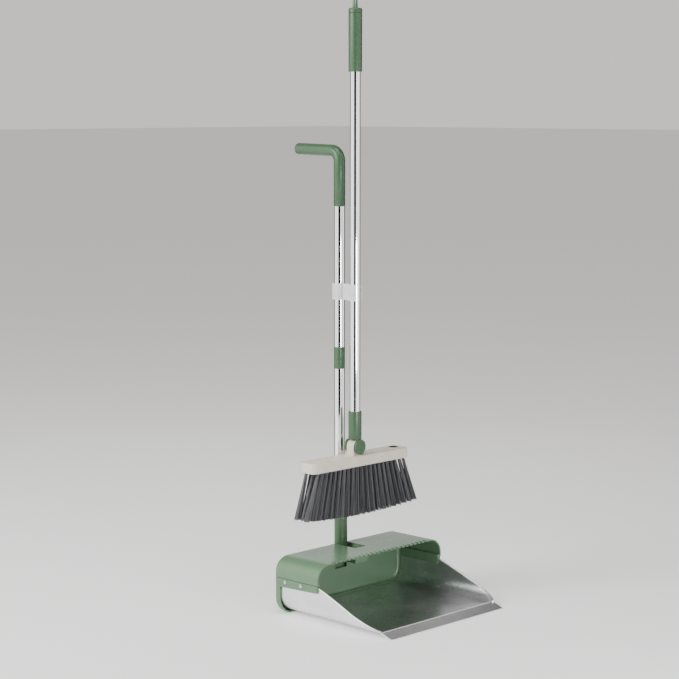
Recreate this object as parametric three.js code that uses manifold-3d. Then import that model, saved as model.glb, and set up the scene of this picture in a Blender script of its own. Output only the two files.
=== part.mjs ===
// Upright dustpan and brush set: a stainless pan with a moulded hood, its hinged pole,
// and a long broom held beside the pole by a snap clip.
// Millimetres. +Z up, pan mouth towards -Y, X across the width.
// Origin: on the floor, in the middle of the flat foot under the back of the pan.
import * as THREE from 'three';
import { mergeVertices } from 'three/addons/utils/BufferGeometryUtils.js';
import Module from 'manifold-3d';

const wasm = await Module();
wasm.setup();

// ---------------------------------------------------------------- driving dimensions
const fit = 0.3; // air gap between pieces that seat on each other

// moulded body: back wall, hood and their common outline
const bodyWidth = 360;
const bodyHeight = 115;
const bodyRear = 17;
const bodyFront = -107;
const bodyCorner = 32;
const backEdge = 12;
const wall = 3;
const partingHeight = 75;
const partingGap = 1;
const bandDepth = 19.4;
const strapRear = 57;
const strapFront = 60.5;

// steel pan
const steel = 1.2;
const panUnderside = 7.6;
const panCorner = 29;
const panInset = 3.4;
const panRear = 3;
const panRimHeight = 72;
const flare = 7.5;
const bendY = -261;
const bendLift = 0.8;
const lipFront = -290;
const lipHalf = 162;
const lipBendHalf = 161;
const lipLap = 0.6;
const slantY = -160;
const slantHeight = 53;

// inner panel in front of the back wall
const panelFace = 5.4;
const panelWall = 2.4;
const panelRim = 8;
const panelRound = 7;
const panelTopGap = 1.2;
const notchHalf = 16.5;
const notchBottom = 63;
const bossRadius = 5;
const panelScrewX = 110;
const panelScrewHeights = [30, 60];

// comb along the hood's front edge
const combTeeth = 24;
const combPitch = 12;
const toothWidth = 7;
const toothLength = 9;
const hoodInset = 2;

// tongue of the hood inside the steel, held by the side screws
const tongueWall = 3;
const tongueBottom = 60;
const shelfBottom = 76;
const sideScrewHeight = 68.6;
const sideScrewY = [-17.6, -61.5];
const screwRadius = 2;
const screwHeadRadius = 3.9;
const screwHeadRise = 1.8;

// hinge of the pole in the hood's slot
const slotWidth = 32;
const slotFront = -50.5;
const wellWall = 2.5;
const wellBottom = 84;
const hingeHeight = 96;
const pinRadius = 3;
const pinHeadRadius = 5.2;
const pinHead = 2.4;
const hubRadius = 10;
const washerWall = 2;
const washerRadius = 9;

// dustpan pole
const poleY = 10;
const stemY = 4.5;
const stemRadius = 11.7;
const stemTail = 21;
const stemTop = 200;
const stemBend = 165;
const stemBendLength = 20;
const tubeRadius = 11;
const tubeWall = 0.8;
const spigotLength = 34;
const couplingBottom = 474;
const couplingHeight = 43;
const handleBottom = 801;
const handleRadius = 11.8;
const handleBend = 21;
const handleTop = 911;
const handleReach = 119;
const handleRise = 2;

// snap clip
const clipBottom = 614;
const clipHeight = 32;
const clipWall = 3.4;
const clipMouth = 17;

// broom handle
const broomOffset = 43.7;
const broomTubeRadius = 10.5;
const gripBottom = 1066;
const gripLength = 114;
const gripRadius = 13.6;
const capHeight = 10;
const cordRadius = 1.95;
const ferruleBottom = 334.2;
const ferruleTop = 391;
const ferruleRadius = 13.4;
const socketFloor = 345;

// swivel knuckle and broom head
const pivotHeight = 319.5;
const earRadius = 15;
const earInner = 11;
const earWall = 5;
const earPocketRadius = 7;
const earPocket = 3;
const boltRadius = 3;
const boltHeadRadius = 5.6;
const boltHead = 1.7;
const headLength = 277;
const headDepth = 45;
const headCorner = 12;
const headBottom = 281.5;
const headTop = 302.8;
const headEdge = 2.5;
const tongueRadius = 14;
const recessX = 112;
const recessRadius = 8.5;
const recessDepth = 16;
const recessRim = 1.2;

// bristles
const rootHalf = 133;
const rootShift = 4;
const rootDepth = 19;
const bristleLength = 100;
const tipHalf = 172;
const tipShift = 9;
const tipDepth = 21;
const tipRise = 8;

// values that follow from the ones above
const broomY = poleY - broomOffset;
const bandFront = bodyRear - bandDepth;
const panHalf = bodyWidth / 2 - panInset;
const tongueRear = panelFace - panelRim - fit;
const tubeBore = tubeRadius - tubeWall;
const broomBore = broomTubeRadius - tubeWall;
const hubHalf = slotWidth / 2 - washerWall - 2 * fit;
const couplingTop = couplingBottom + couplingHeight;
const gripTop = gripBottom + gripLength;
const far = 400; // a cutting block reaches this far past the body

// ---------------------------------------------------------------- solids and booleans
function toSolid(geometry) {
  const bare = geometry.clone();
  bare.deleteAttribute('normal');
  bare.deleteAttribute('uv');
  const merged = mergeVertices(bare, 1e-4);
  return new wasm.Manifold(new wasm.Mesh({
    numProp: 3,
    vertProperties: new Float32Array(merged.attributes.position.array),
    triVerts: new Uint32Array(merged.index.array),
  }));
}

function toGeometry(solid) {
  const data = solid.getMesh();
  const geometry = new THREE.BufferGeometry();
  geometry.setAttribute('position', new THREE.BufferAttribute(new Float32Array(data.vertProperties), 3));
  geometry.setIndex(new THREE.BufferAttribute(new Uint32Array(data.triVerts), 1));
  geometry.computeVertexNormals();
  return geometry;
}

const join = (first, ...rest) => rest.reduce((sum, next) => sum.add(next), first);
const cut = (first, ...rest) => rest.reduce((sum, next) => sum.subtract(next), first);

function block(x0, x1, y0, y1, z0, z1) {
  const box = new THREE.BoxGeometry(x1 - x0, y1 - y0, z1 - z0);
  return toSolid(box.translate((x0 + x1) / 2, (y0 + y1) / 2, (z0 + z1) / 2));
}

// a round bar between two heights, standing at (x, y)
function post(radius, z0, z1, x, y, sides = 32) {
  const bar = new THREE.CylinderGeometry(radius, radius, z1 - z0, sides);
  return toSolid(bar.rotateX(Math.PI / 2).translate(x, y, (z0 + z1) / 2));
}

// a round bar along X, between x0 and x1
function barX(radius, x0, x1, y, z, sides = 20) {
  const bar = new THREE.CylinderGeometry(radius, radius, x1 - x0, sides);
  return toSolid(bar.rotateZ(Math.PI / 2).translate((x0 + x1) / 2, y, z));
}

// a round bar along Y, between y0 and y1
function barY(radius, y0, y1, x, z, sides = 32) {
  const bar = new THREE.CylinderGeometry(radius, radius, y1 - y0, sides);
  return toSolid(bar.translate(x, (y0 + y1) / 2, z));
}

// a body turned about Z from (radius, height) points that start and end on the axis
function turned(points, x, y, sides = 32) {
  const lathe = new THREE.LatheGeometry(points.map(([r, z]) => new THREE.Vector2(r, z)), sides);
  return toSolid(lathe.rotateX(Math.PI / 2).translate(x, y, 0));
}

function roundedRect(half, bottom, top, radius) {
  const shape = new THREE.Shape();
  shape.moveTo(-half + radius, bottom);
  shape.lineTo(half - radius, bottom);
  shape.absarc(half - radius, bottom + radius, radius, -Math.PI / 2, 0, false);
  shape.lineTo(half, top - radius);
  shape.absarc(half - radius, top - radius, radius, 0, Math.PI / 2, false);
  shape.lineTo(-half + radius, top);
  shape.absarc(-half + radius, top - radius, radius, Math.PI / 2, Math.PI, false);
  shape.lineTo(-half, bottom + radius);
  shape.absarc(-half + radius, bottom + radius, radius, Math.PI, Math.PI * 1.5, false);
  return shape;
}

// an (x, z) outline run forwards from its back face, with a rounded edge at both ends
function runForward(shape, back, length, round = 0) {
  const body = new THREE.ExtrudeGeometry(shape, {
    depth: length - 2 * round,
    bevelEnabled: round > 0,
    bevelThickness: round,
    bevelSize: round,
    bevelOffset: -round,
    bevelSegments: 4,
    curveSegments: 7,
  });
  const turn = new THREE.Matrix4().makeBasis(
    new THREE.Vector3(1, 0, 0), new THREE.Vector3(0, 0, 1), new THREE.Vector3(0, -1, 0));
  return toSolid(body.applyMatrix4(turn).translate(0, back - round, 0));
}

// a (y, z) outline run across the width, from -half to +half
function runAcross(shape, half) {
  const body = new THREE.ExtrudeGeometry(shape, { depth: 2 * half, bevelEnabled: false, curveSegments: 10 });
  const turn = new THREE.Matrix4().makeBasis(
    new THREE.Vector3(0, 1, 0), new THREE.Vector3(0, 0, 1), new THREE.Vector3(1, 0, 0));
  return toSolid(body.applyMatrix4(turn).translate(-half, 0, 0));
}

// a closed skin over rings of equal point count, first and last ring capped by a fan
function skin(rings) {
  const count = rings[0].length;
  const positions = rings.flat(2);
  const index = [];
  for (let ring = 0; ring + 1 < rings.length; ring += 1) {
    for (let i = 0; i < count; i += 1) {
      const a = ring * count + i;
      const b = ring * count + ((i + 1) % count);
      index.push(a, b, b + count, a, b + count, a + count);
    }
  }
  const last = (rings.length - 1) * count;
  for (let i = 1; i + 1 < count; i += 1) {
    index.push(0, i + 1, i);
    index.push(last, last + i, last + i + 1);
  }
  const geometry = new THREE.BufferGeometry();
  geometry.setAttribute('position', new THREE.Float32BufferAttribute(positions, 3));
  geometry.setIndex(index);
  return toSolid(geometry);
}

const ringZ = (radius, y, z, sides = 32) => Array.from({ length: sides }, (_, i) => {
  const angle = (i / sides) * 2 * Math.PI;
  return [radius * Math.cos(angle), y + radius * Math.sin(angle), z];
});

// ---------------------------------------------------------------- dustpan
function bodyShell() {
  const length = bodyRear - bodyFront + 3 * backEdge;
  const inner = runForward(
    roundedRect(bodyWidth / 2 - wall, wall, bodyHeight - wall, bodyCorner - wall),
    bodyRear - wall, length, backEdge - wall);
  return cut(bodyFill(), inner).intersect(block(-far, far, bodyFront, far, -far, far));
}

function sideScrewHoles() {
  return join(...sideScrewY.map((y) => barX(screwRadius + fit, -far, far, y, sideScrewHeight, 16)));
}

function combGaps() {
  const gapWidth = combPitch - toothWidth;
  const gaps = [];
  for (let i = 1; i < combTeeth; i += 1) {
    const x = (i - combTeeth / 2) * combPitch;
    gaps.push(block(x - gapWidth / 2, x + gapWidth / 2, -far, bodyFront + toothLength,
      bodyHeight - wall - 1, bodyHeight + 1));
  }
  return gaps;
}

// the hood, slotted from above and behind so that the stem is free to lean forwards
function topCover() {
  const shell = bodyShell().intersect(block(-far, far, -far, far, partingHeight + partingGap / 2, far));
  const tongueOut = panHalf - steel - fit;
  const tongues = [-1, 1].map((side) => {
    const tongue = block(tongueOut - tongueWall, tongueOut, bodyFront + hoodInset, tongueRear,
      tongueBottom, shelfBottom + wall);
    const shelf = block(tongueOut - tongueWall, bodyWidth / 2 - 1, bodyFront + hoodInset, tongueRear,
      shelfBottom, shelfBottom + wall);
    const both = join(tongue, shelf);
    return side < 0 ? both.mirror([1, 0, 0]) : both;
  });
  const wellHalf = slotWidth / 2 + wellWall;
  const well = block(-wellHalf, wellHalf, slotFront - wellWall, bodyRear - wall + 0.5,
    wellBottom, bodyHeight - wall + 0.5);
  return cut(
    join(shell, ...tongues, well.intersect(bodyFill())),
    block(-slotWidth / 2, slotWidth / 2, slotFront, far, 0, far),
    barX(pinRadius + fit, -far, far, stemY, hingeHeight),
    sideScrewHoles(),
    ...combGaps());
}

// everything inside the outer face of the body
function bodyFill() {
  const length = bodyRear - bodyFront + 3 * backEdge;
  return runForward(roundedRect(bodyWidth / 2, 0, bodyHeight, bodyCorner), bodyRear, length, backEdge);
}

function rearBody() {
  const top = partingHeight - partingGap / 2;
  const shell = bodyShell().intersect(block(-far, far, -far, far, -far, top));
  const band = block(-far, far, bandFront, far, -far, far);
  const side = new THREE.Shape();
  side.moveTo(bandFront + 1, strapRear);
  side.lineTo(bodyFront + 1.5, strapFront);
  side.lineTo(bodyFront + 1.5, top);
  side.lineTo(bandFront + 1, top);
  const strap = runAcross(side, far);
  const seat = block(-panHalf + panCorner, panHalf - panCorner, bandFront, panRear,
    wall - 0.5, panUnderside - fit);
  return cut(
    join(shell.intersect(join(band, strap)), seat),
    sideScrewHoles(),
    ...panelScrewPlaces().map(([x, z]) => barY(screwRadius + fit, 0, far, x, z, 16)));
}

function panelScrewPlaces() {
  return [-panelScrewX, panelScrewX].flatMap((x) => panelScrewHeights.map((z) => [x, z]));
}

function innerPanel() {
  const half = panHalf - steel - fit;
  const bottom = panUnderside + steel + fit;
  const top = bodyHeight - wall - panelTopGap;
  const back = panelFace + panelWall;
  const corner = panCorner - steel - fit;
  const plate = runForward(roundedRect(half, bottom, top, corner), back, panelWall + panelRim);
  const hollow = runForward(
    roundedRect(half - 2, bottom + 2, top - 2, corner - 2), panelFace, far, panelRound);
  const bossEnd = bodyRear - wall - fit;
  const bosses = panelScrewPlaces().map(([x, z]) => barY(bossRadius, back - 0.5, bossEnd, x, z, 20));
  const holes = panelScrewPlaces().map(([x, z]) => barY(screwRadius + fit, back, far, x, z, 16));
  const pinRoom = slotWidth / 2 + wellWall + pinHead + 2 * pinRadius;
  return cut(
    join(cut(plate, hollow), ...bosses),
    ...holes,
    block(-notchHalf, notchHalf, -far, far, notchBottom, far),
    block(-pinRoom, pinRoom, -far, far, wellBottom - 2, far));
}

// the tray along its depth: straight under the hood, then flaring and rising to the bend
const trayStations = [
  { y: panRear, half: panHalf, under: panUnderside },
  { y: bodyFront + hoodInset, half: panHalf, under: panUnderside },
  { y: bendY, half: panHalf + flare, under: panUnderside + bendLift },
];

function plate(y, half, under) {
  return [[-half, y, under], [half, y, under], [half, y, under + steel], [-half, y, under + steel]];
}

// the flat of the tray, and the lip that is bent down to the floor in front of it
function trayFloor() {
  const flat = skin(trayStations.map(({ y, half, under }) => plate(y, half - panCorner - fit, under)));
  const lip = skin([
    plate(bendY + lipLap, lipBendHalf, panUnderside + bendLift),
    plate(lipFront, lipHalf, 0),
  ]);
  return join(flat, lip);
}

// a curved side of the tray, cut off on a slant from under the hood down to the bend
function traySide(side) {
  const arcSteps = 6;
  const line = (half, under, offset) => [
    [half - offset, panRimHeight],
    ...Array.from({ length: arcSteps + 1 }, (_, i) => {
      const angle = (i / arcSteps) * (Math.PI / 2);
      const radius = panCorner - offset;
      return [half - panCorner + radius * Math.cos(angle), under + panCorner - radius * Math.sin(angle)];
    }),
  ];
  const sheet = skin(trayStations.map(({ y, half, under }) => [
    ...line(half, under, steel),
    ...line(half, under, 0).reverse(),
  ].map(([x, z]) => [x, y, z])));
  const front = bendY + lipLap + fit;
  const rim = new THREE.Shape();
  rim.moveTo(panRear + 1, -1);
  rim.lineTo(front, -1);
  rim.lineTo(front, panUnderside + bendLift + steel + 0.4);
  rim.quadraticCurveTo(slantY, slantHeight, bodyFront + hoodInset, panRimHeight - 2);
  rim.lineTo(panRear + 1, panRimHeight + 1);
  const wing = cut(sheet.intersect(runAcross(rim, far)), sideScrewHoles());
  return side < 0 ? wing.mirror([1, 0, 0]) : wing;
}

function sideScrew(side, y) {
  const inner = panHalf - steel - tongueWall - 1;
  const face = bodyWidth / 2 + fit;
  const shank = barX(screwRadius, inner, face + 0.5, y, sideScrewHeight, 16);
  const head = barX(screwHeadRadius, face, face + screwHeadRise, y, sideScrewHeight, 20);
  const screw = join(shank, head);
  return side < 0 ? screw.mirror([1, 0, 0]) : screw;
}

function panelScrew(x, z) {
  const face = bodyRear + fit;
  return join(
    barY(screwRadius, panelFace + panelWall + 1, face + 0.5, x, z, 16),
    barY(screwHeadRadius, face, face + screwHeadRise, x, z, 20));
}

// ---------------------------------------------------------------- hinge
function hingePin() {
  const outside = slotWidth / 2 + wellWall + fit;
  return join(
    barX(pinRadius, -outside - pinHead, outside + 2 * pinRadius, stemY, hingeHeight),
    barX(pinHeadRadius, -outside - pinHead, -outside, stemY, hingeHeight));
}

function hingeNut() {
  const start = slotWidth / 2 + wellWall + fit;
  return cut(
    barX(pinHeadRadius, start, start + 2 * pinRadius - 1, stemY, hingeHeight, 6),
    barX(pinRadius + fit, -far, far, stemY, hingeHeight));
}

function frictionWasher(side) {
  const from = hubHalf + fit;
  const disc = cut(
    barX(washerRadius, from, from + washerWall, stemY, hingeHeight, 24),
    barX(pinRadius + fit, -far, far, stemY, hingeHeight));
  return side < 0 ? disc.mirror([1, 0, 0]) : disc;
}

// ---------------------------------------------------------------- dustpan pole
function stem() {
  const bottom = hingeHeight - stemTail;
  const body = skin([
    ringZ(stemRadius - 2, stemY, bottom),
    ringZ(stemRadius, stemY, bottom + 2),
    ringZ(stemRadius, stemY, stemBend),
    ringZ(stemRadius, (stemY + poleY) / 2, stemBend + stemBendLength / 2),
    ringZ(stemRadius, poleY, stemBend + stemBendLength),
    ringZ(stemRadius, poleY, stemTop),
  ]);
  const spigot = post(tubeBore - fit, stemTop - 1, stemTop + spigotLength, 0, poleY);
  const hub = barX(hubRadius, -hubHalf, hubHalf, stemY, hingeHeight, 28);
  return cut(join(body, spigot, hub), barX(pinRadius + fit, -far, far, stemY, hingeHeight));
}

function tube(radius, z0, z1, y) {
  return cut(post(radius, z0, z1, 0, y, 36), post(radius - tubeWall, z0 - 1, z1 + 1, 0, y, 36));
}

function coupling() {
  return join(
    post(tubeBore - fit, couplingBottom - spigotLength, couplingTop + spigotLength, 0, poleY),
    post(tubeRadius + 0.2, couplingBottom, couplingTop, 0, poleY));
}

function handle() {
  const straight = handleTop - handleBend - handleBottom;
  const steps = 8;
  const path = [[poleY, handleBottom]];
  for (let i = 0; i <= steps; i += 1) {
    const angle = (i / steps) * (Math.PI / 2);
    path.push([
      poleY + handleBend * (1 - Math.cos(angle)),
      handleBottom + straight + handleBend * Math.sin(angle),
    ]);
  }
  path.push([poleY + handleReach, handleTop + handleRise]);
  const sides = 24;
  const rings = path.map(([y, z], i) => {
    const before = path[Math.max(i - 1, 0)];
    const after = path[Math.min(i + 1, path.length - 1)];
    const lean = Math.atan2(after[0] - before[0], after[1] - before[1]);
    return Array.from({ length: sides }, (_, k) => {
      const angle = (k / sides) * 2 * Math.PI;
      const across = handleRadius * Math.cos(angle);
      const out = handleRadius * Math.sin(angle);
      return [across, y + out * Math.cos(lean), z - out * Math.sin(lean)];
    });
  });
  return join(skin(rings), post(tubeBore - fit, handleBottom - spigotLength, handleBottom + 1, 0, poleY));
}

// ---------------------------------------------------------------- clip
function poleClip() {
  const top = clipBottom + clipHeight;
  const poleGrip = tubeRadius + fit;
  const broomGrip = broomTubeRadius + fit;
  const web = block(-clipWall * 1.4, clipWall * 1.4, broomY, poleY, clipBottom, top);
  return cut(
    join(
      post(poleGrip + clipWall, clipBottom, top, 0, poleY),
      post(broomGrip + clipWall, clipBottom, top, 0, broomY),
      web),
    post(poleGrip, clipBottom - 1, top + 1, 0, poleY),
    post(broomGrip, clipBottom - 1, top + 1, 0, broomY),
    block(-clipMouth / 2, clipMouth / 2, broomY - far, broomY, clipBottom - 1, top + 1));
}

// ---------------------------------------------------------------- broom
function grip() {
  return cut(
    turned([
      [0, gripBottom], [gripRadius - 1.5, gripBottom], [gripRadius, gripBottom + 1.5],
      [gripRadius, gripTop], [0, gripTop],
    ], 0, broomY),
    post(broomTubeRadius + fit, gripBottom - 1, gripTop + 1, 0, broomY));
}

function gripCap() {
  const base = gripTop + fit;
  const top = gripTop + capHeight;
  const dome = turned([
    [0, base], [gripRadius, base], [gripRadius, top - 2.5], [gripRadius - 0.8, top - 0.8],
    [gripRadius - 2.6, top], [0, top],
  ], 0, broomY);
  return join(dome, post(broomBore - fit, gripTop - spigotLength / 2, base + 1, 0, broomY));
}

// the fork: a socket on the tube and two ears that straddle the head's tongue
function ferrule() {
  const reach = earInner + earWall;
  const socket = turned([
    [0, ferruleBottom], [ferruleRadius, ferruleBottom], [ferruleRadius, ferruleTop - 2],
    [ferruleRadius - 1.5, ferruleTop], [0, ferruleTop],
  ], 0, broomY);
  const ears = [-1, 1].flatMap((side) => {
    const near = broomY + side * earInner;
    const out = broomY + side * reach;
    const [y0, y1] = side < 0 ? [out, near] : [near, out];
    const pocket = broomY + side * (reach - earPocket);
    const [p0, p1] = side < 0 ? [out - 1, pocket] : [pocket, out + 1];
    const web = post(ferruleRadius, pivotHeight, ferruleBottom + 1, 0, broomY)
      .intersect(block(-far, far, y0, y1, 0, far));
    return cut(
      join(barY(earRadius, y0, y1, 0, pivotHeight), web),
      barY(earPocketRadius, p0, p1, 0, pivotHeight, 24));
  });
  return cut(
    join(socket, ...ears),
    post(broomTubeRadius + fit, socketFloor, ferruleTop + 1, 0, broomY, 36),
    barY(boltRadius + fit, -far, far, 0, pivotHeight, 20));
}

function pivotBolt() {
  const pocket = broomY - earInner - earWall + earPocket;
  return join(
    barY(boltRadius, pocket - boltHead, broomY + earInner + earWall - 1.4, 0, pivotHeight, 20),
    barY(boltHeadRadius, pocket - fit - boltHead, pocket - fit, 0, pivotHeight, 6));
}

function pivotNut() {
  const pocket = broomY + earInner + earWall - earPocket;
  return cut(
    barY(boltHeadRadius, pocket + fit, pocket + fit + boltHead - 0.4, 0, pivotHeight, 6),
    barY(boltRadius + fit, -far, far, 0, pivotHeight, 20));
}

function earCap(side) {
  const face = broomY + side * (earInner + earWall);
  const inside = face - side * 0.9;
  return barY(earPocketRadius - fit, Math.min(face, inside), Math.max(face, inside), 0, pivotHeight, 24);
}

function knuckleWasher(side) {
  const thickness = 1;
  const near = broomY + side * (earInner - fit);
  const inside = near - side * thickness;
  return cut(
    barY(tongueRadius - 2, Math.min(near, inside), Math.max(near, inside), 0, pivotHeight, 24),
    barY(boltRadius + fit, -far, far, 0, pivotHeight, 20));
}

// ---------------------------------------------------------------- broom head
function broomHead() {
  const outline = roundedRect(headLength / 2, -headDepth / 2, headDepth / 2, headCorner);
  const slab = new THREE.ExtrudeGeometry(outline, {
    depth: headTop - headBottom - 2 * headEdge,
    bevelThickness: headEdge,
    bevelSize: headEdge,
    bevelOffset: -headEdge,
    bevelSegments: 3,
    curveSegments: 8,
  }).translate(0, broomY, headBottom + headEdge);
  const half = earInner - 1 - 2 * fit;
  const tongue = join(
    barY(tongueRadius, broomY - half, broomY + half, 0, pivotHeight),
    block(-tongueRadius, tongueRadius, broomY - half, broomY + half, headTop - 1, pivotHeight));
  const rim = post(recessRadius + 2, headTop - 1, headTop + recessRim, recessX, broomY, 28);
  return cut(
    join(toSolid(slab), tongue, rim),
    post(recessRadius, headTop - recessDepth, headTop + 5, recessX, broomY, 28),
    barY(boltRadius + fit, -far, far, 0, pivotHeight, 20));
}

// all the filaments as one block: equal lengths, fanned, so the tips lie on an arc
function bristles() {
  const top = headBottom - fit;
  const across = 12;
  const ring = (depth, share) => Array.from({ length: across + 1 }, (_, i) => {
    const s = (2 * i) / across - 1;
    const half = rootHalf + (tipHalf - rootHalf) * share;
    const shift = rootShift + (tipShift - rootShift) * share;
    return [shift + half * s, depth, top - share * (bristleLength - tipRise * s * s)];
  });
  const loop = (share) => {
    const depth = rootDepth + (tipDepth - rootDepth) * share;
    const front = ring(broomY - depth, share);
    const back = ring(broomY + depth, share).reverse();
    return [...front, ...back];
  };
  return skinStrip(loop(1), loop(0));
}

// a skin between two loops whose caps are strips between their front and back rows
function skinStrip(low, high) {
  const count = low.length;
  const row = count / 2;
  const index = [];
  for (let i = 0; i < count; i += 1) {
    const j = (i + 1) % count;
    index.push(i, j, count + j, i, count + j, count + i);
  }
  for (let i = 0; i + 1 < row; i += 1) {
    const a = count - 1 - i;
    const b = count - 2 - i;
    index.push(i, b, i + 1, i, a, b);
    index.push(count + i, count + i + 1, count + b, count + i, count + b, count + a);
  }
  const geometry = new THREE.BufferGeometry();
  geometry.setAttribute('position', new THREE.Float32BufferAttribute([...low, ...high].flat(), 3));
  geometry.setIndex(index);
  return toSolid(geometry);
}

// ---------------------------------------------------------------- hanging cord
// a loop out of the grip's end cap: up, over and down behind the grip
function hangLoop() {
  const top = gripTop + capHeight + fit;
  const route = [
    [-3, 0, 0], [-2.6, 0.2, 8], [-1.2, 1.4, 15.5], [3.6, 6, 23], [9.4, 12.2, 24.4],
    [13, 17, 18], [13.4, 18.6, 6], [12.2, 19.4, -12], [10.6, 20.4, -34], [9.6, 21.4, -54],
    [10.4, 20.8, -66], [15.6, 15.6, -73], [20.8, 10.4, -66], [21.4, 9.6, -54], [20.4, 10.6, -34],
    [19.4, 12.2, -12], [18.6, 13.4, 6], [17, 13, 18], [12.8, 8.8, 24.4], [8, 1.6, 23],
    [4.8, -1.4, 15.5], [3.4, -0.2, 8], [3, 0, 0],
  ].map(([x, y, z]) => new THREE.Vector3(x, broomY + y, top + z));
  const path = new THREE.CatmullRomCurve3(route, false, 'centripetal');
  const section = new THREE.Shape();
  section.absarc(0, 0, cordRadius, 0, Math.PI * 2, false);
  return toSolid(new THREE.ExtrudeGeometry(section, {
    steps: 40,
    curveSegments: 4,
    bevelEnabled: false,
    extrudePath: path,
  }));
}

// ---------------------------------------------------------------- finishes and assembly
const finish = (color, roughness, metalness) => ({ color, roughness, metalness });
const green = finish(0x6f9a72, 0.42, 0);
const brushedSteel = finish(0xb9bcbe, 0.32, 1);
const chromed = finish(0xd9dcdf, 0.08, 1);
const zinc = finish(0xc9ccd0, 0.25, 1);
const cream = finish(0xddd6c6, 0.5, 0);
const filament = finish(0x3a3b3f, 0.7, 0);
const frosted = finish(0xe9ebec, 0.35, 0);
const rubberGrey = finish(0x2b2b2d, 0.8, 0);
const cordGreen = finish(0x4d7552, 0.85, 0);

const set = new THREE.Group();

function add(name, solid, look) {
  const mesh = new THREE.Mesh(toGeometry(solid), new THREE.MeshStandardMaterial(look));
  mesh.name = name;
  set.add(mesh);
}

add('pan_floor', trayFloor(), brushedSteel);
add('pan_side_left', traySide(-1), brushedSteel);
add('pan_side_right', traySide(1), brushedSteel);
add('rear_body', rearBody(), green);
add('inner_panel', innerPanel(), green);
add('top_cover', topCover(), green);
for (const [side, hand] of [[-1, 'left'], [1, 'right']]) {
  sideScrewY.forEach((y, i) => {
    add(`side_screw_${hand}_${['rear', 'front'][i]}`, sideScrew(side, y), zinc);
  });
}
panelScrewPlaces().forEach(([x, z], i) => add(`panel_screw_${i + 1}`, panelScrew(x, z), zinc));
add('hinge_pin', hingePin(), zinc);
add('hinge_nut', hingeNut(), zinc);
add('friction_washer_left', frictionWasher(-1), rubberGrey);
add('friction_washer_right', frictionWasher(1), rubberGrey);
add('stem', stem(), green);
add('lower_tube', tube(tubeRadius, stemTop + fit, couplingBottom - fit, poleY), chromed);
add('tube_coupling', coupling(), green);
add('upper_tube', tube(tubeRadius, couplingTop + fit, handleBottom - fit, poleY), chromed);
add('pan_handle', handle(), green);
add('pole_clip', poleClip(), frosted);
add('broom_tube', tube(broomTubeRadius, socketFloor + fit, gripTop - fit, broomY), chromed);
add('grip', grip(), green);
add('grip_cap', gripCap(), green);
add('hang_loop', hangLoop(), cordGreen);
add('fork_ferrule', ferrule(), green);
add('pivot_bolt', pivotBolt(), zinc);
add('pivot_nut', pivotNut(), zinc);
add('ear_cap_front', earCap(-1), green);
add('ear_cap_rear', earCap(1), green);
add('knuckle_washer_front', knuckleWasher(-1), rubberGrey);
add('knuckle_washer_rear', knuckleWasher(1), rubberGrey);
add('broom_head', broomHead(), cream);
add('bristles', bristles(), filament);

export default set;
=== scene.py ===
import math

import bmesh
import bpy
from mathutils import Matrix, Vector


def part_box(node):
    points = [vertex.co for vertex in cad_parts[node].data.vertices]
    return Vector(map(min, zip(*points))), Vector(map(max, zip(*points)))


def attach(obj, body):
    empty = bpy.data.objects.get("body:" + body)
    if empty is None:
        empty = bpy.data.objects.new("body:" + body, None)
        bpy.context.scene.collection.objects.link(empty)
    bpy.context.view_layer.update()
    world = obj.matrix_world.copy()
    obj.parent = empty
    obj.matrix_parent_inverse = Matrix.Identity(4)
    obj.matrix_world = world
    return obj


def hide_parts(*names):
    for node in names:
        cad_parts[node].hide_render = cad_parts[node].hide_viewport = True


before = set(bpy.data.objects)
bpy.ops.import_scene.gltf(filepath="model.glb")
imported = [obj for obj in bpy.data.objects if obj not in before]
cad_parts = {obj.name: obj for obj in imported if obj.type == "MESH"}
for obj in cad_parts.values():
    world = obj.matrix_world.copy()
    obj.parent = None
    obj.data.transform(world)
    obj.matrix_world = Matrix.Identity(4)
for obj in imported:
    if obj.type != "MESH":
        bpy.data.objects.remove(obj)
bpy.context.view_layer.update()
collection = bpy.context.scene.collection

# ---------------------------------------------------------------- camera
# Stands back from the left front corner of the pan, at the height of the poles' couplings,
# and looks a little down along the set.
camera = bpy.data.objects.new("camera", bpy.data.cameras.new("camera"))
camera.data.lens = 102.31
camera.data.sensor_width = 36
camera.location = (-2.75285, -2.69723, 1.00359)
camera.rotation_euler = (math.radians(83.035), 0, math.radians(-45.48))
collection.objects.link(camera)
bpy.context.scene.camera = camera


# ---------------------------------------------------------------- hanging loop
# A braided polyester cord, both ends knotted inside the grip's end cap. It stands up out of
# the cap, folds over and hangs behind the grip.
mm = 0.001
cord_diameter = 3.86 * mm
cord_braids = 8
cord_lay = 6 * mm
cord_steps = 320
cord_sides = 12
cord_route = [
    (-3, 0, 0), (-2.8, 0.2, 6), (-2.4, 0.6, 12.9), (-0.1, 3.1, 21), (5.4, 9, 24.3), (10.9, 14.9, 21),
    (13.2, 17.4, 12.9), (13.2, 18.6, 0), (12, 19.6, -14), (10.4, 20.8, -34), (9.6, 21.4, -50),
    (9.6, 21.4, -64.5), (11.3, 19.7, -70.4), (15.5, 15.5, -72.9), (19.7, 11.3, -70.4),
    (21.4, 9.6, -64.5), (21.4, 9.6, -50), (20.8, 10.2, -34), (19.4, 12, -14), (18.4, 13, 0),
    (17.8, 13.4, 14.4), (15.7, 11.3, 21.5), (10.6, 6.4, 24.3), (5.5, 1.4, 21.5), (3.4, -0.6, 14.4),
    (3.1, -0.2, 7), (3, 0, 0),
]
grip_axis_y = sum(corner.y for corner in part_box("grip")) / 2
cord_exit = Vector((0, grip_axis_y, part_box("grip_cap")[1].z + 0.3 * mm))


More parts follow.
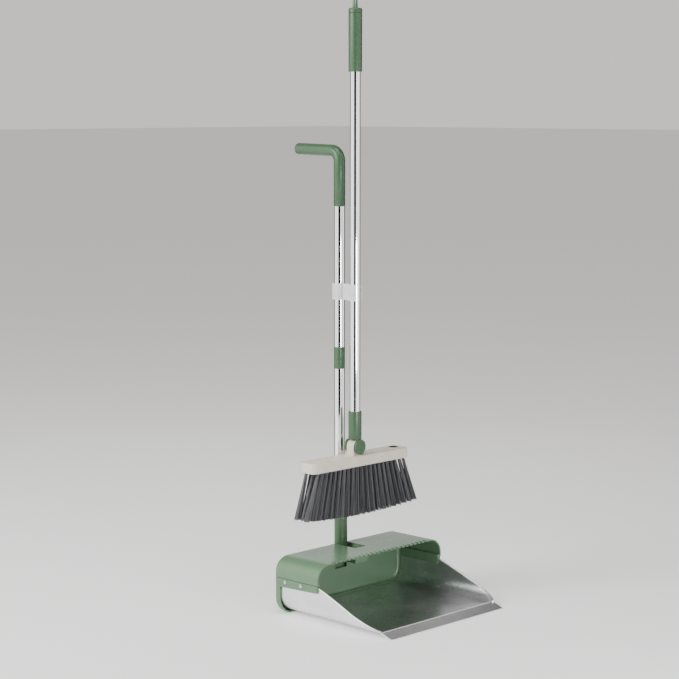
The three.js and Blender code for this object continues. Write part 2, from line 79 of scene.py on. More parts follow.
def smooth_route(points, count):
    """A centripetal Catmull-Rom curve through the points, cut into even shares of each span."""
    ends = [points[0] * 2 - points[1], *points, points[-1] * 2 - points[-2]]
    knots = [0.0]
    for before, after in zip(ends, ends[1:]):
        knots.append(knots[-1] + math.sqrt((after - before).length))
    route = []
    for step in range(count + 1):
        place = min(step * (len(points) - 1) / count, len(points) - 1 - 1e-9)
        first = int(place)
        t0, t1, t2, t3 = knots[first:first + 4]
        p0, p1, p2, p3 = ends[first:first + 4]
        t = t1 + (place - first) * (t2 - t1)
        a1 = p0.lerp(p1, (t - t0) / (t1 - t0))
        a2 = p1.lerp(p2, (t - t1) / (t2 - t1))
        a3 = p2.lerp(p3, (t - t2) / (t3 - t2))
        b1 = a1.lerp(a2, (t - t0) / (t2 - t0))
        b2 = a2.lerp(a3, (t - t1) / (t3 - t1))
        route.append(b1.lerp(b2, (t - t1) / (t2 - t1)))
    return route


def skin(name, rings, wrap=False, capped=True):
    """A mesh object over rings of equal point count, with its faces turned outwards."""
    count = len(rings[0])
    last = len(rings) if wrap else len(rings) - 1
    faces = []
    for ring in range(last):
        low, high = ring * count, ((ring + 1) % len(rings)) * count
        faces += [
            (low + i, low + (i + 1) % count, high + (i + 1) % count, high + i) for i in range(count)
        ]
    if capped and not wrap:
        top = (len(rings) - 1) * count
        faces += [tuple(reversed(range(count))), tuple(range(top, top + count))]
    mesh = bpy.data.meshes.new(name)
    mesh.from_pydata([tuple(point) for ring in rings for point in ring], [], faces)
    shape = bmesh.new()
    shape.from_mesh(mesh)
    bmesh.ops.remove_doubles(shape, verts=shape.verts, dist=1e-7)
    bmesh.ops.recalc_face_normals(shape, faces=shape.faces)
    shape.to_mesh(mesh)
    shape.free()
    mesh.shade_smooth()
    made = bpy.data.objects.new(name, mesh)
    collection.objects.link(made)
    return made


def sweep(name, route, radii, sides):
    """A round bar along a route, without twist; radii gives one radius for each point."""
    tangents = [
        (route[min(i + 1, len(route) - 1)] - route[max(i - 1, 0)]).normalized() for i in range(len(route))
    ]
    across = tangents[0].orthogonal().normalized()
    rings = []
    for point, along, radius in zip(route, tangents, radii):
        across = (across - along * across.dot(along)).normalized()
        beside = along.cross(across)
        turns = [i / sides * math.tau for i in range(sides)]
        rings.append([
            point + (across * math.cos(turn) + beside * math.sin(turn)) * radius for turn in turns
        ])
    return skin(name, rings)


def add_node(tree, kind, links=(), **settings):
    """A shader or geometry node; links gives its inputs by name or number, as sockets or as values."""
    made = tree.nodes.new(kind)
    for setting, value in settings.items():
        setattr(made, setting, value)
    for key, value in dict(links).items():
        if isinstance(value, bpy.types.NodeSocket):
            tree.links.new(value, made.inputs[key])
        else:
            made.inputs[key].default_value = value
    return made


def new_material(name, **sockets):
    """A material, its tree and its Principled shader, with values set on the shader's own sockets."""
    made = bpy.data.materials.new(name)
    made.use_nodes = True
    shader = made.node_tree.nodes["Principled BSDF"]
    for socket, value in sockets.items():
        shader.inputs[socket.replace("_", " ")].default_value = value
    return made, made.node_tree, shader


def stretched(tree, scale):
    """Object coordinates, stretched for a pattern that runs one way."""
    place = add_node(tree, "ShaderNodeTexCoord").outputs["Object"]
    return add_node(tree, "ShaderNodeMapping", {"Vector": place, "Scale": scale}).outputs["Vector"]


def noise(tree, vector, scale, detail=2.0, roughness=0.5):
    """A cloudy pattern with values from 0 to 1."""
    links = {"Vector": vector, "Scale": scale, "Detail": detail, "Roughness": roughness}
    return add_node(tree, "ShaderNodeTexNoise", links).outputs["Fac"]


def ramp(tree, factor, *stops):
    """A colour ramp from (position, colour) stops; a plain number stands for a grey."""
    made = add_node(tree, "ShaderNodeValToRGB", {"Fac": factor})
    band = made.color_ramp
    while len(band.elements) < len(stops):
        band.elements.new(0.5)
    for element, (position, colour) in zip(band.elements, stops):
        element.position = position
        grey = (colour, colour, colour) if isinstance(colour, (int, float)) else colour
        element.color = (*grey, 1)
    return made.outputs["Color"]


def math_node(tree, operation, *values):
    """One step of arithmetic on sockets or plain numbers."""
    return add_node(tree, "ShaderNodeMath", dict(enumerate(values)), operation=operation).outputs[0]


def drive(tree, shader, socket, factor, *stops):
    """Lets a pattern set one of the shader's sockets, through a ramp."""
    tree.links.new(ramp(tree, factor, *stops), shader.inputs[socket])


def bump(tree, shader, height, strength, distance):
    """Raises and lowers the shading by a pattern, over a depth in metres."""
    links = {"Height": height, "Strength": strength, "Distance": distance}
    tree.links.new(add_node(tree, "ShaderNodeBump", links).outputs["Normal"], shader.inputs["Normal"])


def dress(piece, body, slot, material, *replaced):
    """Gives a finished piece its material and its body, and hides the CAD nodes that it stands for; the slot
    argument is not used.
    """
    piece.data.materials.clear()
    piece.data.materials.append(material)
    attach(piece, body)
    if replaced:
        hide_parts(*replaced)


def braided_cord():
    """Green polyester braid, its strands crossing left over right, painted darker in the grooves between them
    as painted shade.
    """
    made, tree, shader = new_material("braided_cord", Roughness=0.85, Sheen_Weight=0.25, Sheen_Roughness=0.5)
    across, along = add_node(
        tree, "ShaderNodeSeparateXYZ",
        {"Vector": add_node(tree, "ShaderNodeTexCoord").outputs["UV"]}).outputs[:2]
    strands = []
    for hand in (1, -1):
        turned = math_node(tree, "MULTIPLY_ADD", along, hand * 0.5 * cord_braids, across)
        wave = math_node(tree, "SINE", math_node(tree, "MULTIPLY", turned, math.tau))
        strands.append(wave)
    plait_relief_shade = math_node(tree, "MAXIMUM", *strands)
    # the colour follows the strands' height: painted shade in the grooves, full green on the crests
    drive(tree, shader, "Base Color", math_node(tree, "MULTIPLY_ADD", plait_relief_shade, 0.5, 0.5),
          (0.2, (0.03, 0.07, 0.035)), (0.95, (0.14, 0.27, 0.15)))
    bump(tree, shader, plait_relief_shade, 0.6, 0.3 * mm)
    return made


cord_points = [cord_exit + Vector(point) * mm for point in cord_route]
cord_line = smooth_route(cord_points, cord_steps)
cord_length = sum((b - a).length for a, b in zip(cord_line, cord_line[1:]))
hanging_loop = sweep("hanging_loop", cord_line, [cord_diameter / 2] * len(cord_line), cord_sides)
loop_uv = hanging_loop.data.uv_layers.new(name="braid")
for face in hanging_loop.data.polygons:
    ends = list(face.vertices)
    for corner, vertex in zip(face.loop_indices, ends):
        around = vertex % cord_sides
        if around == 0 and max(v % cord_sides for v in ends) == cord_sides - 1:
            around = cord_sides
        along = vertex // cord_sides / cord_steps * cord_length
        loop_uv.data[corner].uv = (around / cord_sides * cord_braids / 2, along / cord_lay)
dress(hanging_loop, "broom", "loop_cord", braided_cord(), "hang_loop")


# ---------------------------------------------------------------- steel tray
# One sheet of brushed stainless steel: a trough that flares forwards, its sides cut on a slant,
# their edge rolled into a thin hem, and its front bent down into a lip that rides on the floor.
steel = 1.2 * mm
fit = 0.3 * mm
tray_corner = 29 * mm
tray_flare = 7.5 * mm
hood_front = -105 * mm
slant_pull = (-160 * mm, 53 * mm)
hem_radius = 1.9 * mm
lip_hem = 1.3 * mm
bead_radius = 1.2 * mm
tray_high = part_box("pan_side_right")[1]
lip_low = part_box("pan_floor")[0]
tray_half = 176.6 * mm
tray_under = 7.6 * mm
bend_y = -261 * mm
bend_under = 8.4 * mm
bend_rim = 10 * mm
lip_half = 162 * mm


def tray_shape(y):
    """(flat half width, underside, rim height) of the tray at a depth."""
    lead = (hood_front - y) / (hood_front - bend_y)
    if lead <= 0:
        return tray_half - tray_corner, tray_under, 70 * mm + min(2 * mm, -lead * 30 * mm)
    if lead <= 1:
        # the rim is a quadratic curve; t is where it reaches this depth
        a = hood_front - 2 * slant_pull[0] + bend_y
        b = 2 * (slant_pull[0] - hood_front)
        c = hood_front - y
        t = (-b - math.sqrt(max(b * b - 4 * a * c, 0))) / (2 * a) if abs(a) > 1e-9 else -c / b
        rim = (1 - t) ** 2 * 70 * mm + 2 * t * (1 - t) * slant_pull[1] + t * t * bend_rim
        under = tray_under + (bend_under - tray_under) * lead
        return tray_half - tray_corner + tray_flare * lead, under, rim
    ahead = (bend_y - y) / (bend_y - lip_low.y)
    flat = (tray_half - tray_corner + tray_flare) * (1 - ahead) + lip_half * ahead
    under = bend_under * (1 - ahead)
    return flat, under, under + (bend_rim - bend_under) * (1 - ahead) ** 1.5


def side_profile(y, inset, steps=22):
    """Half a section of the sheet from the floor's edge up to the rim, moved in by inset."""
    flat, under, rim = tray_shape(y)
    lift = rim - under
    if lift < tray_corner:
        arc_end = math.acos(max(1 - lift / tray_corner, -1))
        straight = 0.0
    else:
        arc_end = math.pi / 2
        straight = lift - tray_corner
    whole = arc_end * tray_corner + straight
    points = []
    for step in range(1, steps + 1):
        run = whole * step / steps
        turn = min(run / tray_corner, arc_end)
        up = run - turn * tray_corner
        reach = tray_corner - inset
        x = flat + reach * math.sin(turn)
        z = under + tray_corner - reach * math.cos(turn) + up
        points.append((x, z))
    return points


def section(y, inset):
    """One face of the sheet across the tray, from the left rim to the right rim."""
    flat, under, _ = tray_shape(y)
    side = side_profile(y, inset)
    floor = [(flat * share, under + inset) for share in (-1, -0.6, -0.2, 0.2, 0.6, 1)]
    left = [(-x, z) for x, z in reversed(side)]
    return [Vector((x, y, z)) for x, z in [*left, *floor, *side]]


def tray_stations():
    """Depths at which the sheet is drawn: close together at the bend."""
    back = [tray_high.y - share / 8 * (tray_high.y - hood_front) for share in range(8)]
    slant = [hood_front + share / 46 * (bend_y - hood_front) for share in range(46)]
    bend = [bend_y + offset * mm for offset in (1.5, 0.7, 0, -0.7, -1.5)]
    lip = [bend_y - 1.5 * mm + share / 8 * (lip_low.y - bend_y + 1.5 * mm) for share in range(1, 9)]
    return back + slant + bend + lip


def tray_rim(side):
    """The line that the hem follows, from under the hood to the bend."""
    line = []
    for step in range(60):
        y = hood_front + 6 * mm + step / 59 * (bend_y - hood_front - 7 * mm)
        x, z = side_profile(y, hem_radius)[-1]
        line.append(Vector((side * x, y, z)))
    return line


def brushed_stainless():
    """Steel brushed from front to back, bright outside and given a darker base colour inside the tray as
    painted shade.
    """
    made, tree, shader = new_material("brushed_stainless", Metallic=1, Anisotropic=0.35)
    streaks = noise(tree, stretched(tree, (1, 0.03, 1)), 2600, 3, 0.6)
    wash = noise(tree, stretched(tree, (1, 1, 1)), 22, 3)
    outer = ramp(tree, wash, (0.3, (0.74, 0.745, 0.755)), (0.7, (0.84, 0.845, 0.85)))
    inner = ramp(tree, wash, (0.3, (0.53, 0.52, 0.54)), (0.7, (0.61, 0.6, 0.62)))
    # painted shade: the faces inside the tray take the darker colour
    wear_and_shade = add_node(tree, "ShaderNodeAttribute", attribute_name="inside").outputs["Fac"]
    mixed = add_node(tree, "ShaderNodeMix", data_type="RGBA")
    for socket, value in ((0, wear_and_shade), (6, outer), (7, inner)):
        tree.links.new(value, mixed.inputs[socket])
    tree.links.new(mixed.outputs[2], shader.inputs["Base Color"])
    drive(tree, shader, "Roughness", streaks, (0.25, 0.22), (0.75, 0.38))
    bump(tree, shader, streaks, 0.16, 0.1 * mm)
    return made


def bake(made):
    """Applies an object's modifiers to its mesh."""
    graph = bpy.context.evaluated_depsgraph_get()
    mesh = bpy.data.meshes.new_from_object(made.evaluated_get(graph))
    made.modifiers.clear()
    made.data = mesh


def combine(target, operation, *others):
    """Joins other solids to the target, or cuts them out of it, and removes them."""
    for other in others:
        step = target.modifiers.new(operation.lower(), "BOOLEAN")
        step.operation = operation
        step.solver = "MANIFOLD"
        step.object = other
    bake(target)
    for other in others:
        bpy.data.objects.remove(other)
    return target


def soften(piece, width, angle=35, segments=2):
    """Rounds the sharp edges of a solid by a small radius, and keeps its flat faces flat."""
    edge = piece.modifiers.new("soften", "BEVEL")
    edge.width = width
    edge.segments = segments
    edge.limit_method = "ANGLE"
    edge.angle_limit = math.radians(angle)
    edge.harden_normals = True
    return piece


def sheet_rings():
    """Outer and inner faces of the sheet, as one closed ring at each station."""
    return [[*section(y, 0), *reversed(section(y, steel))] for y in tray_stations()]


def mark_faces(piece, name, rule):
    """Stores a number on each face, for a material to read."""
    marks = piece.data.attributes.new(name, "FLOAT", "FACE")
    for face in piece.data.polygons:
        marks.data[face.index].value = rule(face)


def inside_shade(face):
    """How much painted shade a face gets: full inside the tray, a little on the lip, and none on the hems."""
    upwards = face.normal.z - face.normal.x * face.center.x / tray_half
    ahead = bend_y - face.center.y
    if upwards <= 0.2:
        return 0.0
    if ahead < -3 * mm and face.center.z < tray_shape(face.center.y)[2] - 2 * hem_radius:
        return 1.0
    return 0.2 if 1 * mm < ahead < bend_y - lip_low.y - 2.8 * mm else 0.0


steel_tray = skin("steel_tray", sheet_rings())
hems = [sweep("hem", tray_rim(side), [hem_radius] * 60, 12) for side in (-1, 1)]
for radius, half, y, z in (
        (lip_hem, lip_half - lip_hem, lip_low.y + lip_hem, lip_hem + 0.05 * mm),
        (bead_radius, lip_half - 4 * mm, bend_y + bead_radius, bend_under + steel - 0.3 * mm)):
    straight = [Vector((share / 20 * half, y, z)) for share in range(-20, 21)]
    hems.append(sweep("hem", straight, [radius] * 41, 12))
combine(steel_tray, "UNION", *hems)
steel_tray.data.shade_smooth()
# stores how much painted shade each face of the sheet gets
mark_faces(steel_tray, "inside", inside_shade)
soften(steel_tray, 0.25 * mm, 50, 1)
dress(steel_tray, "dustpan", "brushed_stainless", brushed_stainless(),
      "pan_floor", "pan_side_left", "pan_side_right")


# ---------------------------------------------------------------- hood
# Satin green injection moulding: a rounded cover with a comb along its front edge, a slot and
# a well for the pole, and a tongue inside each steel side, held there by the side screws.
body_corner = 32 * mm
back_edge = 12 * mm
moulded_wall = 3 * mm
past = 50 * mm  # how far a cutting solid runs past what it cuts
comb_teeth = 24
comb_pitch = 12 * mm
tooth_width = 7 * mm
tooth_length = 9 * mm
slot_front = -50.5 * mm
slot_half = 16 * mm
well_wall = 2.5 * mm
well_bottom = 84 * mm
hood_low, hood_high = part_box("top_cover")
body_half = hood_high.x


def arc(x, z, radius, start, steps=14):
    """A quarter turn of points about (x, z), from the start angle in degrees."""
    turns = [math.radians(start + 90 * step / steps) for step in range(steps + 1)]
    return [(x + radius * math.cos(turn), z + radius * math.sin(turn)) for turn in turns]


def round_frame(half, bottom, top, radius):
    """The outline of a rounded rectangle, as (x, z) points."""
    return [
        *arc(half - radius, bottom + radius, radius, -90), *arc(half - radius, top - radius, radius, 0),
        *arc(radius - half, top - radius, radius, 90), *arc(radius - half, bottom + radius, radius, 180),
    ]


def tub(name, half, bottom, top, radius, back, front, back_round=0.0):
    """A solid run forwards from a back face whose edge is rounded."""
    rings = []
    steps = 10 if back_round else 0
    for step in range(steps + 1):
        turn = math.radians(90 * step / steps) if steps else math.radians(90)
        inset = back_round * (1 - math.sin(turn))
        y = back - back_round * (1 - math.cos(turn))
        outline = round_frame(half - inset, bottom + inset, top - inset, radius - inset)
        rings.append([Vector((x, y, z)) for x, z in outline])
    outline = round_frame(half, bottom, top, radius)
    rings.append([Vector((x, front, z)) for x, z in outline])
    return skin(name, rings)


def block(low, high):
    """A plain box between two corners, used as a cutter or as a small wall."""
    (x0, y0, z0), (x1, y1, z1) = low, high
    corners = [(x0, y0), (x1, y0), (x1, y1), (x0, y1)]
    return skin("block", [[Vector((x, y, z)) for x, y in corners] for z in (z0, z1)])


def bar(axis, radius, start, stop, centre, sides=48):
    """A round bar along X, Y or Z between two places; centre gives its other two coordinates."""
    rings = []
    for place in (start, stop):
        ring = []
        for i in range(sides):
            turn = i / sides * math.tau
            pair = [centre[0] + radius * math.cos(turn), centre[1] + radius * math.sin(turn)]
            pair.insert("XYZ".index(axis), place)
            ring.append(Vector(pair))
        rings.append(ring)
    return skin("bar", rings)


def satin_green(name, dark, light):
    """Satin moulded plastic: a fine spark-eroded grain, slight mottling, and softly rubbed high spots."""
    made, tree, shader = new_material(name, Specular_IOR_Level=0.4)
    place = stretched(tree, (1, 1, 1))
    drive(tree, shader, "Base Color", noise(tree, place, 35, 3), (0.3, dark), (0.7, light))
    rubbed = noise(tree, place, 160, 4, 0.6)
    drive(tree, shader, "Roughness", rubbed, (0.3, 0.24), (0.75, 0.28))
    bump(tree, shader, noise(tree, place, 2400, 2), 0.1, 0.1 * mm)
    return made


def comb_tree(material):
    """Square-set teeth in a row along X, each a flat finger."""
    tree = bpy.data.node_groups.new("comb", "GeometryNodeTree")
    tree.interface.new_socket("Geometry", in_out="OUTPUT", socket_type="NodeSocketGeometry")
    for name, kind, value in (
            ("Teeth", "NodeSocketInt", comb_teeth), ("Pitch", "NodeSocketFloat", comb_pitch),
            ("Width", "NodeSocketFloat", tooth_width), ("Length", "NodeSocketFloat", tooth_length),
            ("Thickness", "NodeSocketFloat", moulded_wall),
            ("Front", "NodeSocketFloat", hood_low.y), ("Top", "NodeSocketFloat", hood_high.z)):
        tree.interface.new_socket(name, in_out="INPUT", socket_type=kind).default_value = value
    given = add_node(tree, "NodeGroupInput").outputs
    lap = 0.6 * mm
    span = math_node(tree, "MULTIPLY", math_node(tree, "SUBTRACT", given["Teeth"], 1), given["Pitch"])
    left = math_node(tree, "MULTIPLY", span, -0.5)
    start = add_node(tree, "ShaderNodeCombineXYZ", {"X": left}).outputs[0]
    step = add_node(tree, "ShaderNodeCombineXYZ", {"X": given["Pitch"]}).outputs[0]
    row = add_node(tree, "GeometryNodeMeshLine",
                   {"Count": given["Teeth"], "Start Location": start, "Offset": step}).outputs["Mesh"]

    length = math_node(tree, "ADD", given["Length"], lap)
    size = add_node(tree, "ShaderNodeCombineXYZ", {"X": given["Width"], "Y": length, "Z": given["Thickness"]})
    cube = add_node(tree, "GeometryNodeMeshCube", {"Size": size.outputs[0]}).outputs["Mesh"]
    y = math_node(tree, "MULTIPLY_ADD", length, 0.5, given["Front"])
    z = math_node(tree, "MULTIPLY_ADD", given["Thickness"], -0.5, given["Top"])
    shift = add_node(tree, "ShaderNodeCombineXYZ", {"Y": y, "Z": z}).outputs[0]
    finger = add_node(tree, "GeometryNodeTransform", {"Geometry": cube, "Translation": shift}).outputs[0]
    teeth = add_node(tree, "GeometryNodeInstanceOnPoints",
                     {"Points": row, "Instance": finger}).outputs[0]
    real = add_node(tree, "GeometryNodeRealizeInstances", {"Geometry": teeth}).outputs[0]
    painted = add_node(tree, "GeometryNodeSetMaterial", {"Geometry": real, "Material": material}).outputs[0]
    out = add_node(tree, "NodeGroupOutput")
    tree.links.new(painted, out.inputs[0])
    return tree


def grow(name, tree):
    """A plain mesh object from a node tree."""
    made = bpy.data.objects.new(name, bpy.data.meshes.new(name))
    collection.objects.link(made)
    made.modifiers.new("nodes", "NODES").node_group = tree
    bake(made)
    return made


# One green plastic in two copies: the pole's copy has a darker base colour, painted shade on the stem,
# coupling, handle, grip, cap and fork.
green = satin_green("body_green_plastic", (0.105, 0.194, 0.107), (0.112, 0.204, 0.114))
pole_green_shaded = satin_green("pole_green_plastic", (0.04, 0.095, 0.044), (0.046, 0.104, 0.05))
hood_back = hood_high.y
body_shape = (body_half, 0.0, hood_high.z, body_corner)
inner_shape = (body_half - moulded_wall, moulded_wall, hood_high.z - moulded_wall,
               body_corner - moulded_wall)


def moulded_shell(name, bottom, top):
    """The part of the body's wall between two heights."""
    outer = tub(name, *body_shape, hood_back, hood_low.y, back_edge)
    hollow = tub("hollow", *inner_shape, hood_back - moulded_wall, hood_low.y - past,
                 back_edge - moulded_wall)
    combine(outer, "DIFFERENCE", hollow)
    keep = block((-1, -1, bottom), (1, 1, top))
    return combine(outer, "INTERSECT", keep)


parting_top = 75.5 * mm
parting_low = 74.5 * mm
hood = moulded_shell("hood", parting_top, 1.0)
comb_half = comb_teeth * comb_pitch / 2
comb_room = block((-comb_half + (comb_pitch - tooth_width) / 2, -1, hood_high.z - 2 * moulded_wall),
                  (comb_half - (comb_pitch - tooth_width) / 2, hood_low.y + tooth_length, 1))
combine(hood, "DIFFERENCE", comb_room)
tongue_out = tray_half - steel - fit
tongue_wall = 3 * mm
tongue_bottom = hood_low.z
shelf = 76 * mm
band_front = -2.4 * mm
tongue_rear = -2.9 * mm
extras = []
for side in (-1, 1):
    x0, x1 = sorted((side * (tongue_out - tongue_wall), side * tongue_out))
    extras.append(block((x0, hood_front, tongue_bottom), (x1, tongue_rear, shelf + moulded_wall)))
    x0, x1 = sorted((side * (tongue_out - tongue_wall), side * (body_half - 1 * mm)))
    extras.append(block((x0, hood_front, shelf), (x1, tongue_rear, shelf + moulded_wall)))
well_half = slot_half + well_wall
extras.append(block((-well_half, slot_front - well_wall, well_bottom),
                    (well_half, hood_back - moulded_wall, hood_high.z - moulded_wall / 2)))
comb = grow("comb", comb_tree(green))
combine(hood, "UNION", *extras, comb)
pin_bore = 3.3 * mm
pin_low, pin_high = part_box("hinge_pin")
pin_place = ((pin_low.y + pin_high.y) / 2, (pin_low.z + pin_high.z) / 2)
slot = block((-slot_half, slot_front, 0), (slot_half, 1, 1))
pin_hole = bar("X", pin_bore, -past, past, pin_place)
combine(hood, "DIFFERENCE", slot, pin_hole)
soften(hood, 0.45 * mm)
dress(hood, "dustpan", "green_plastic", green, "top_cover")


# ---------------------------------------------------------------- rear body
# The lower half of the green moulding: the back wall with its rounded edges, a band round the
# steel, a strap along each side for the screws, and a seat under the tray.
strap_rear = 57 * mm
strap_front = 60.5 * mm
rear_body = moulded_shell("rear_housing", -1.0, parting_low)
strap_under = [
    (-1, -1), (band_front, -1), (band_front, strap_rear), (hood_low.y, strap_front), (-1, strap_front),
]
below_strap = skin("below", [[Vector((x, y, z)) for y, z in strap_under] for x in (-1, 1)])
strap_end = block((-1, -1, -1), (1, hood_low.y + 1.5 * mm, 1))
combine(rear_body, "DIFFERENCE", below_strap, strap_end)
seat = block((-tray_half + tray_corner, band_front, moulded_wall / 2),
             (tray_half - tray_corner, 3 * mm, tray_under - fit))
combine(rear_body, "UNION", seat)
soften(rear_body, 0.45 * mm)
dress(rear_body, "dustpan", "green_plastic", green, "rear_body")


# ---------------------------------------------------------------- inner panel
# A green panel across the back of the tray. Its rim turns forwards in a deep round fillet, and
# it is cut away in the middle for the foot of the pole and the well of the hood.
panel_low, panel_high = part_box("inner_panel")
notch_half = 16.5 * mm
notch_bottom = 63 * mm
panel_face = 5.4 * mm
panel_wall = 2.4 * mm
panel_fillet = 7 * mm
panel_round = tray_corner - steel - fit
panel_half = panel_high.x
back_panel = tub("back_panel", panel_half, panel_low.z, panel_high.z, panel_round,
                 panel_face + panel_wall, panel_low.y)
dish = tub("dish", panel_half - 2 * mm, panel_low.z + 2 * mm, panel_high.z - 2 * mm, panel_round - 2 * mm,
           panel_face, -0.1, panel_fillet)
pin_room = 27.5 * mm
combine(back_panel, "DIFFERENCE", dish,
        block((-notch_half, -1, notch_bottom), (notch_half, 1, 1)),
        block((-pin_room, -1, well_bottom - 2 * mm), (pin_room, 1, 1)))
soften(back_panel, 0.4 * mm)
dress(back_panel, "dustpan", "green_plastic", green, "inner_panel")


# ---------------------------------------------------------------- screws of the pan
# Zinc-plated pan-head screws with a cross recess: two through each side strap, the steel and
# the hood's tongue, and four through the back wall into the panel's bosses.
screw_head_radius = 3.9 * mm
screw_head_rise = 1.8 * mm
screw_shank = 2 * mm
screw_recess = 0.75 * mm


def zinc_plate():
    """Bright zinc plate with a slight mottle in its colour and patches of rougher gloss."""
    made, tree, shader = new_material("zinc_plate", Metallic=1)
    place = stretched(tree, (1, 1, 1))
    drive(tree, shader, "Base Color", noise(tree, place, 240, 2),
          (0.3, (0.56, 0.57, 0.59)), (0.7, (0.69, 0.7, 0.71)))
    drive(tree, shader, "Roughness", noise(tree, place, 900, 3), (0.3, 0.16), (0.7, 0.32))
    return made


def screw_tree(material):
    """A pan-head screw on each point, its head turned to the point's own facing."""
    tree = bpy.data.node_groups.new("screws", "GeometryNodeTree")
    tree.interface.new_socket("Geometry", in_out="INPUT", socket_type="NodeSocketGeometry")
    tree.interface.new_socket("Geometry", in_out="OUTPUT", socket_type="NodeSocketGeometry")
    for name, value in (("Head radius", screw_head_radius), ("Head rise", screw_head_rise),
                        ("Shank radius", screw_shank), ("Shank length", 8 * mm), ("Recess", screw_recess)):
        socket = tree.interface.new_socket(name, in_out="INPUT", socket_type="NodeSocketFloat")
        socket.default_value = value
    given = add_node(tree, "NodeGroupInput").outputs
    shoulder = math_node(tree, "MULTIPLY", given["Head rise"], 0.5)
    crown_radius = math_node(tree, "MULTIPLY", given["Head radius"], 0.78)

    def turned_cone(low_radius, high_radius, height, z):
        cone = add_node(tree, "GeometryNodeMeshCone", {
            "Vertices": 32, "Radius Top": high_radius, "Radius Bottom": low_radius,
            "Depth": height}).outputs[0]
        shift = add_node(tree, "ShaderNodeCombineXYZ", {"Z": z}).outputs[0]
        return add_node(tree, "GeometryNodeTransform", {"Geometry": cone, "Translation": shift}).outputs[0]

    def slot_bar(long_side, short_side):
        size = add_node(tree, "ShaderNodeCombineXYZ", {
            "X": long_side, "Y": short_side, "Z": given["Head rise"]}).outputs[0]
        cube = add_node(tree, "GeometryNodeMeshCube", {"Size": size}).outputs["Mesh"]
        shift = add_node(tree, "ShaderNodeCombineXYZ", {"Z": given["Head rise"]}).outputs[0]
        return add_node(tree, "GeometryNodeTransform", {"Geometry": cube, "Translation": shift}).outputs[0]

    rim = turned_cone(given["Head radius"], given["Head radius"], shoulder, 0.0)
    crown = turned_cone(given["Head radius"], crown_radius, shoulder, shoulder)
    back = math_node(tree, "MULTIPLY", given["Shank length"], -1.0)
    shank = turned_cone(given["Shank radius"], given["Shank radius"], given["Shank length"], back)
    shank_up = add_node(tree, "GeometryNodeTransform", {
        "Geometry": shank, "Translation": (0, 0, 0.2 * mm)}).outputs[0]
    body = add_node(tree, "GeometryNodeMeshBoolean", operation="UNION", solver="EXACT")
    for solid in (rim, crown, shank_up):
        tree.links.new(solid, body.inputs["Mesh 2"])
    wide = math_node(tree, "MULTIPLY", given["Head radius"], 1.1)
    carved = add_node(tree, "GeometryNodeMeshBoolean", {"Mesh 1": body.outputs[0]},
                      operation="DIFFERENCE", solver="EXACT")
    for sides in ((wide, given["Recess"]), (given["Recess"], wide)):
        tree.links.new(slot_bar(*sides), carved.inputs["Mesh 2"])
    facing = add_node(tree, "GeometryNodeInputNamedAttribute", {"Name": "facing"}, data_type="FLOAT_VECTOR")
    turn = add_node(
        tree, "FunctionNodeAlignRotationToVector", {"Vector": facing.outputs[0]}, axis="Z").outputs[0]
    placed = add_node(tree, "GeometryNodeInstanceOnPoints", {
        "Points": given["Geometry"], "Instance": carved.outputs[0], "Rotation": turn}).outputs[0]
    real = add_node(tree, "GeometryNodeRealizeInstances", {"Geometry": placed}).outputs[0]
    painted = add_node(tree, "GeometryNodeSetMaterial", {"Geometry": real, "Material": material}).outputs[0]
    tree.links.new(painted, add_node(tree, "NodeGroupOutput").inputs[0])
    return tree


zinc = zinc_plate()
side_screws = [f"side_screw_{hand}_{end}" for hand in ("left", "right") for end in ("rear", "front")]
panel_screws = [f"panel_screw_{number}" for number in (1, 2, 3, 4)]
seats, facings = [], []
for node in side_screws:
    low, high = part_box(node)
    side = 1 if low.x > 0 else -1
    middle = (low + high) / 2
    seats.append((side * (max(abs(low.x), abs(high.x)) - screw_head_rise), middle.y, middle.z))
    facings.append((side, 0, 0))
for node in panel_screws:
    low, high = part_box(node)
    middle = (low + high) / 2
    seats.append((middle.x, high.y - screw_head_rise, middle.z))
    facings.append((0, 1, 0))
screw_points = bpy.data.meshes.new("screws")
screw_points.from_pydata(seats, [], [])
facing = screw_points.attributes.new("facing", "FLOAT_VECTOR", "POINT")
facing.data.foreach_set("vector", [value for vector in facings for value in vector])
screws = bpy.data.objects.new("pan_screws", screw_points)
collection.objects.link(screws)
screws.modifiers.new("nodes", "NODES").node_group = screw_tree(zinc)
bake(screws)
dress(screws, "dustpan", "plated_fastener", zinc, *side_screws, *panel_screws)


# ---------------------------------------------------------------- pole hinge
# A zinc-plated pin with a riveted head and a nut, and two black rubber washers that grip the
# pole's foot so that it stays where it is leant. Only their ends show, down in the slot.
def black_rubber():
    """Dull moulded rubber with a little bloom on it."""
    made, tree, shader = new_material("black_rubber", Sheen_Weight=0.1)
    place = stretched(tree, (1, 1, 1))
    drive(tree, shader, "Base Color", noise(tree, place, 300, 3), (0.3, 0.02), (0.75, 0.045))
    drive(tree, shader, "Roughness", noise(tree, place, 700, 2), (0.3, 0.65), (0.7, 0.85))
    return made


def repaint(node, material):
    """A CAD node keeps its shape and gets a finished material."""
    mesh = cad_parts[node].data
    mesh.materials.clear()
    mesh.materials.append(material)


rubber = black_rubber()
for node in ("hinge_pin", "hinge_nut", "pivot_bolt", "pivot_nut"):
    repaint(node, zinc)
for node in ("friction_washer_left", "friction_washer_right", "knuckle_washer_front", "knuckle_washer_rear"):
    repaint(node, rubber)


# ---------------------------------------------------------------- foot of the pole
# A green moulded stem on the hinge pin. It steps back above the hood to the pole's own axis,
# and a spigot on its top is pressed into the lower tube.
stem_low, stem_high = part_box("stem")
tube_low, tube_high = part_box("lower_tube")
pole_y = (tube_low.y + tube_high.y) / 2
tube_radius = (tube_high.y - tube_low.y) / 2
tube_wall = 0.8 * mm
stem_radius = stem_high.x
stem_y = stem_low.y + stem_radius
stem_top = tube_low.z - fit
step_from, step_to = 165 * mm, 185 * mm
spigot_radius = tube_radius - tube_wall - fit
hub_half = 13.4 * mm


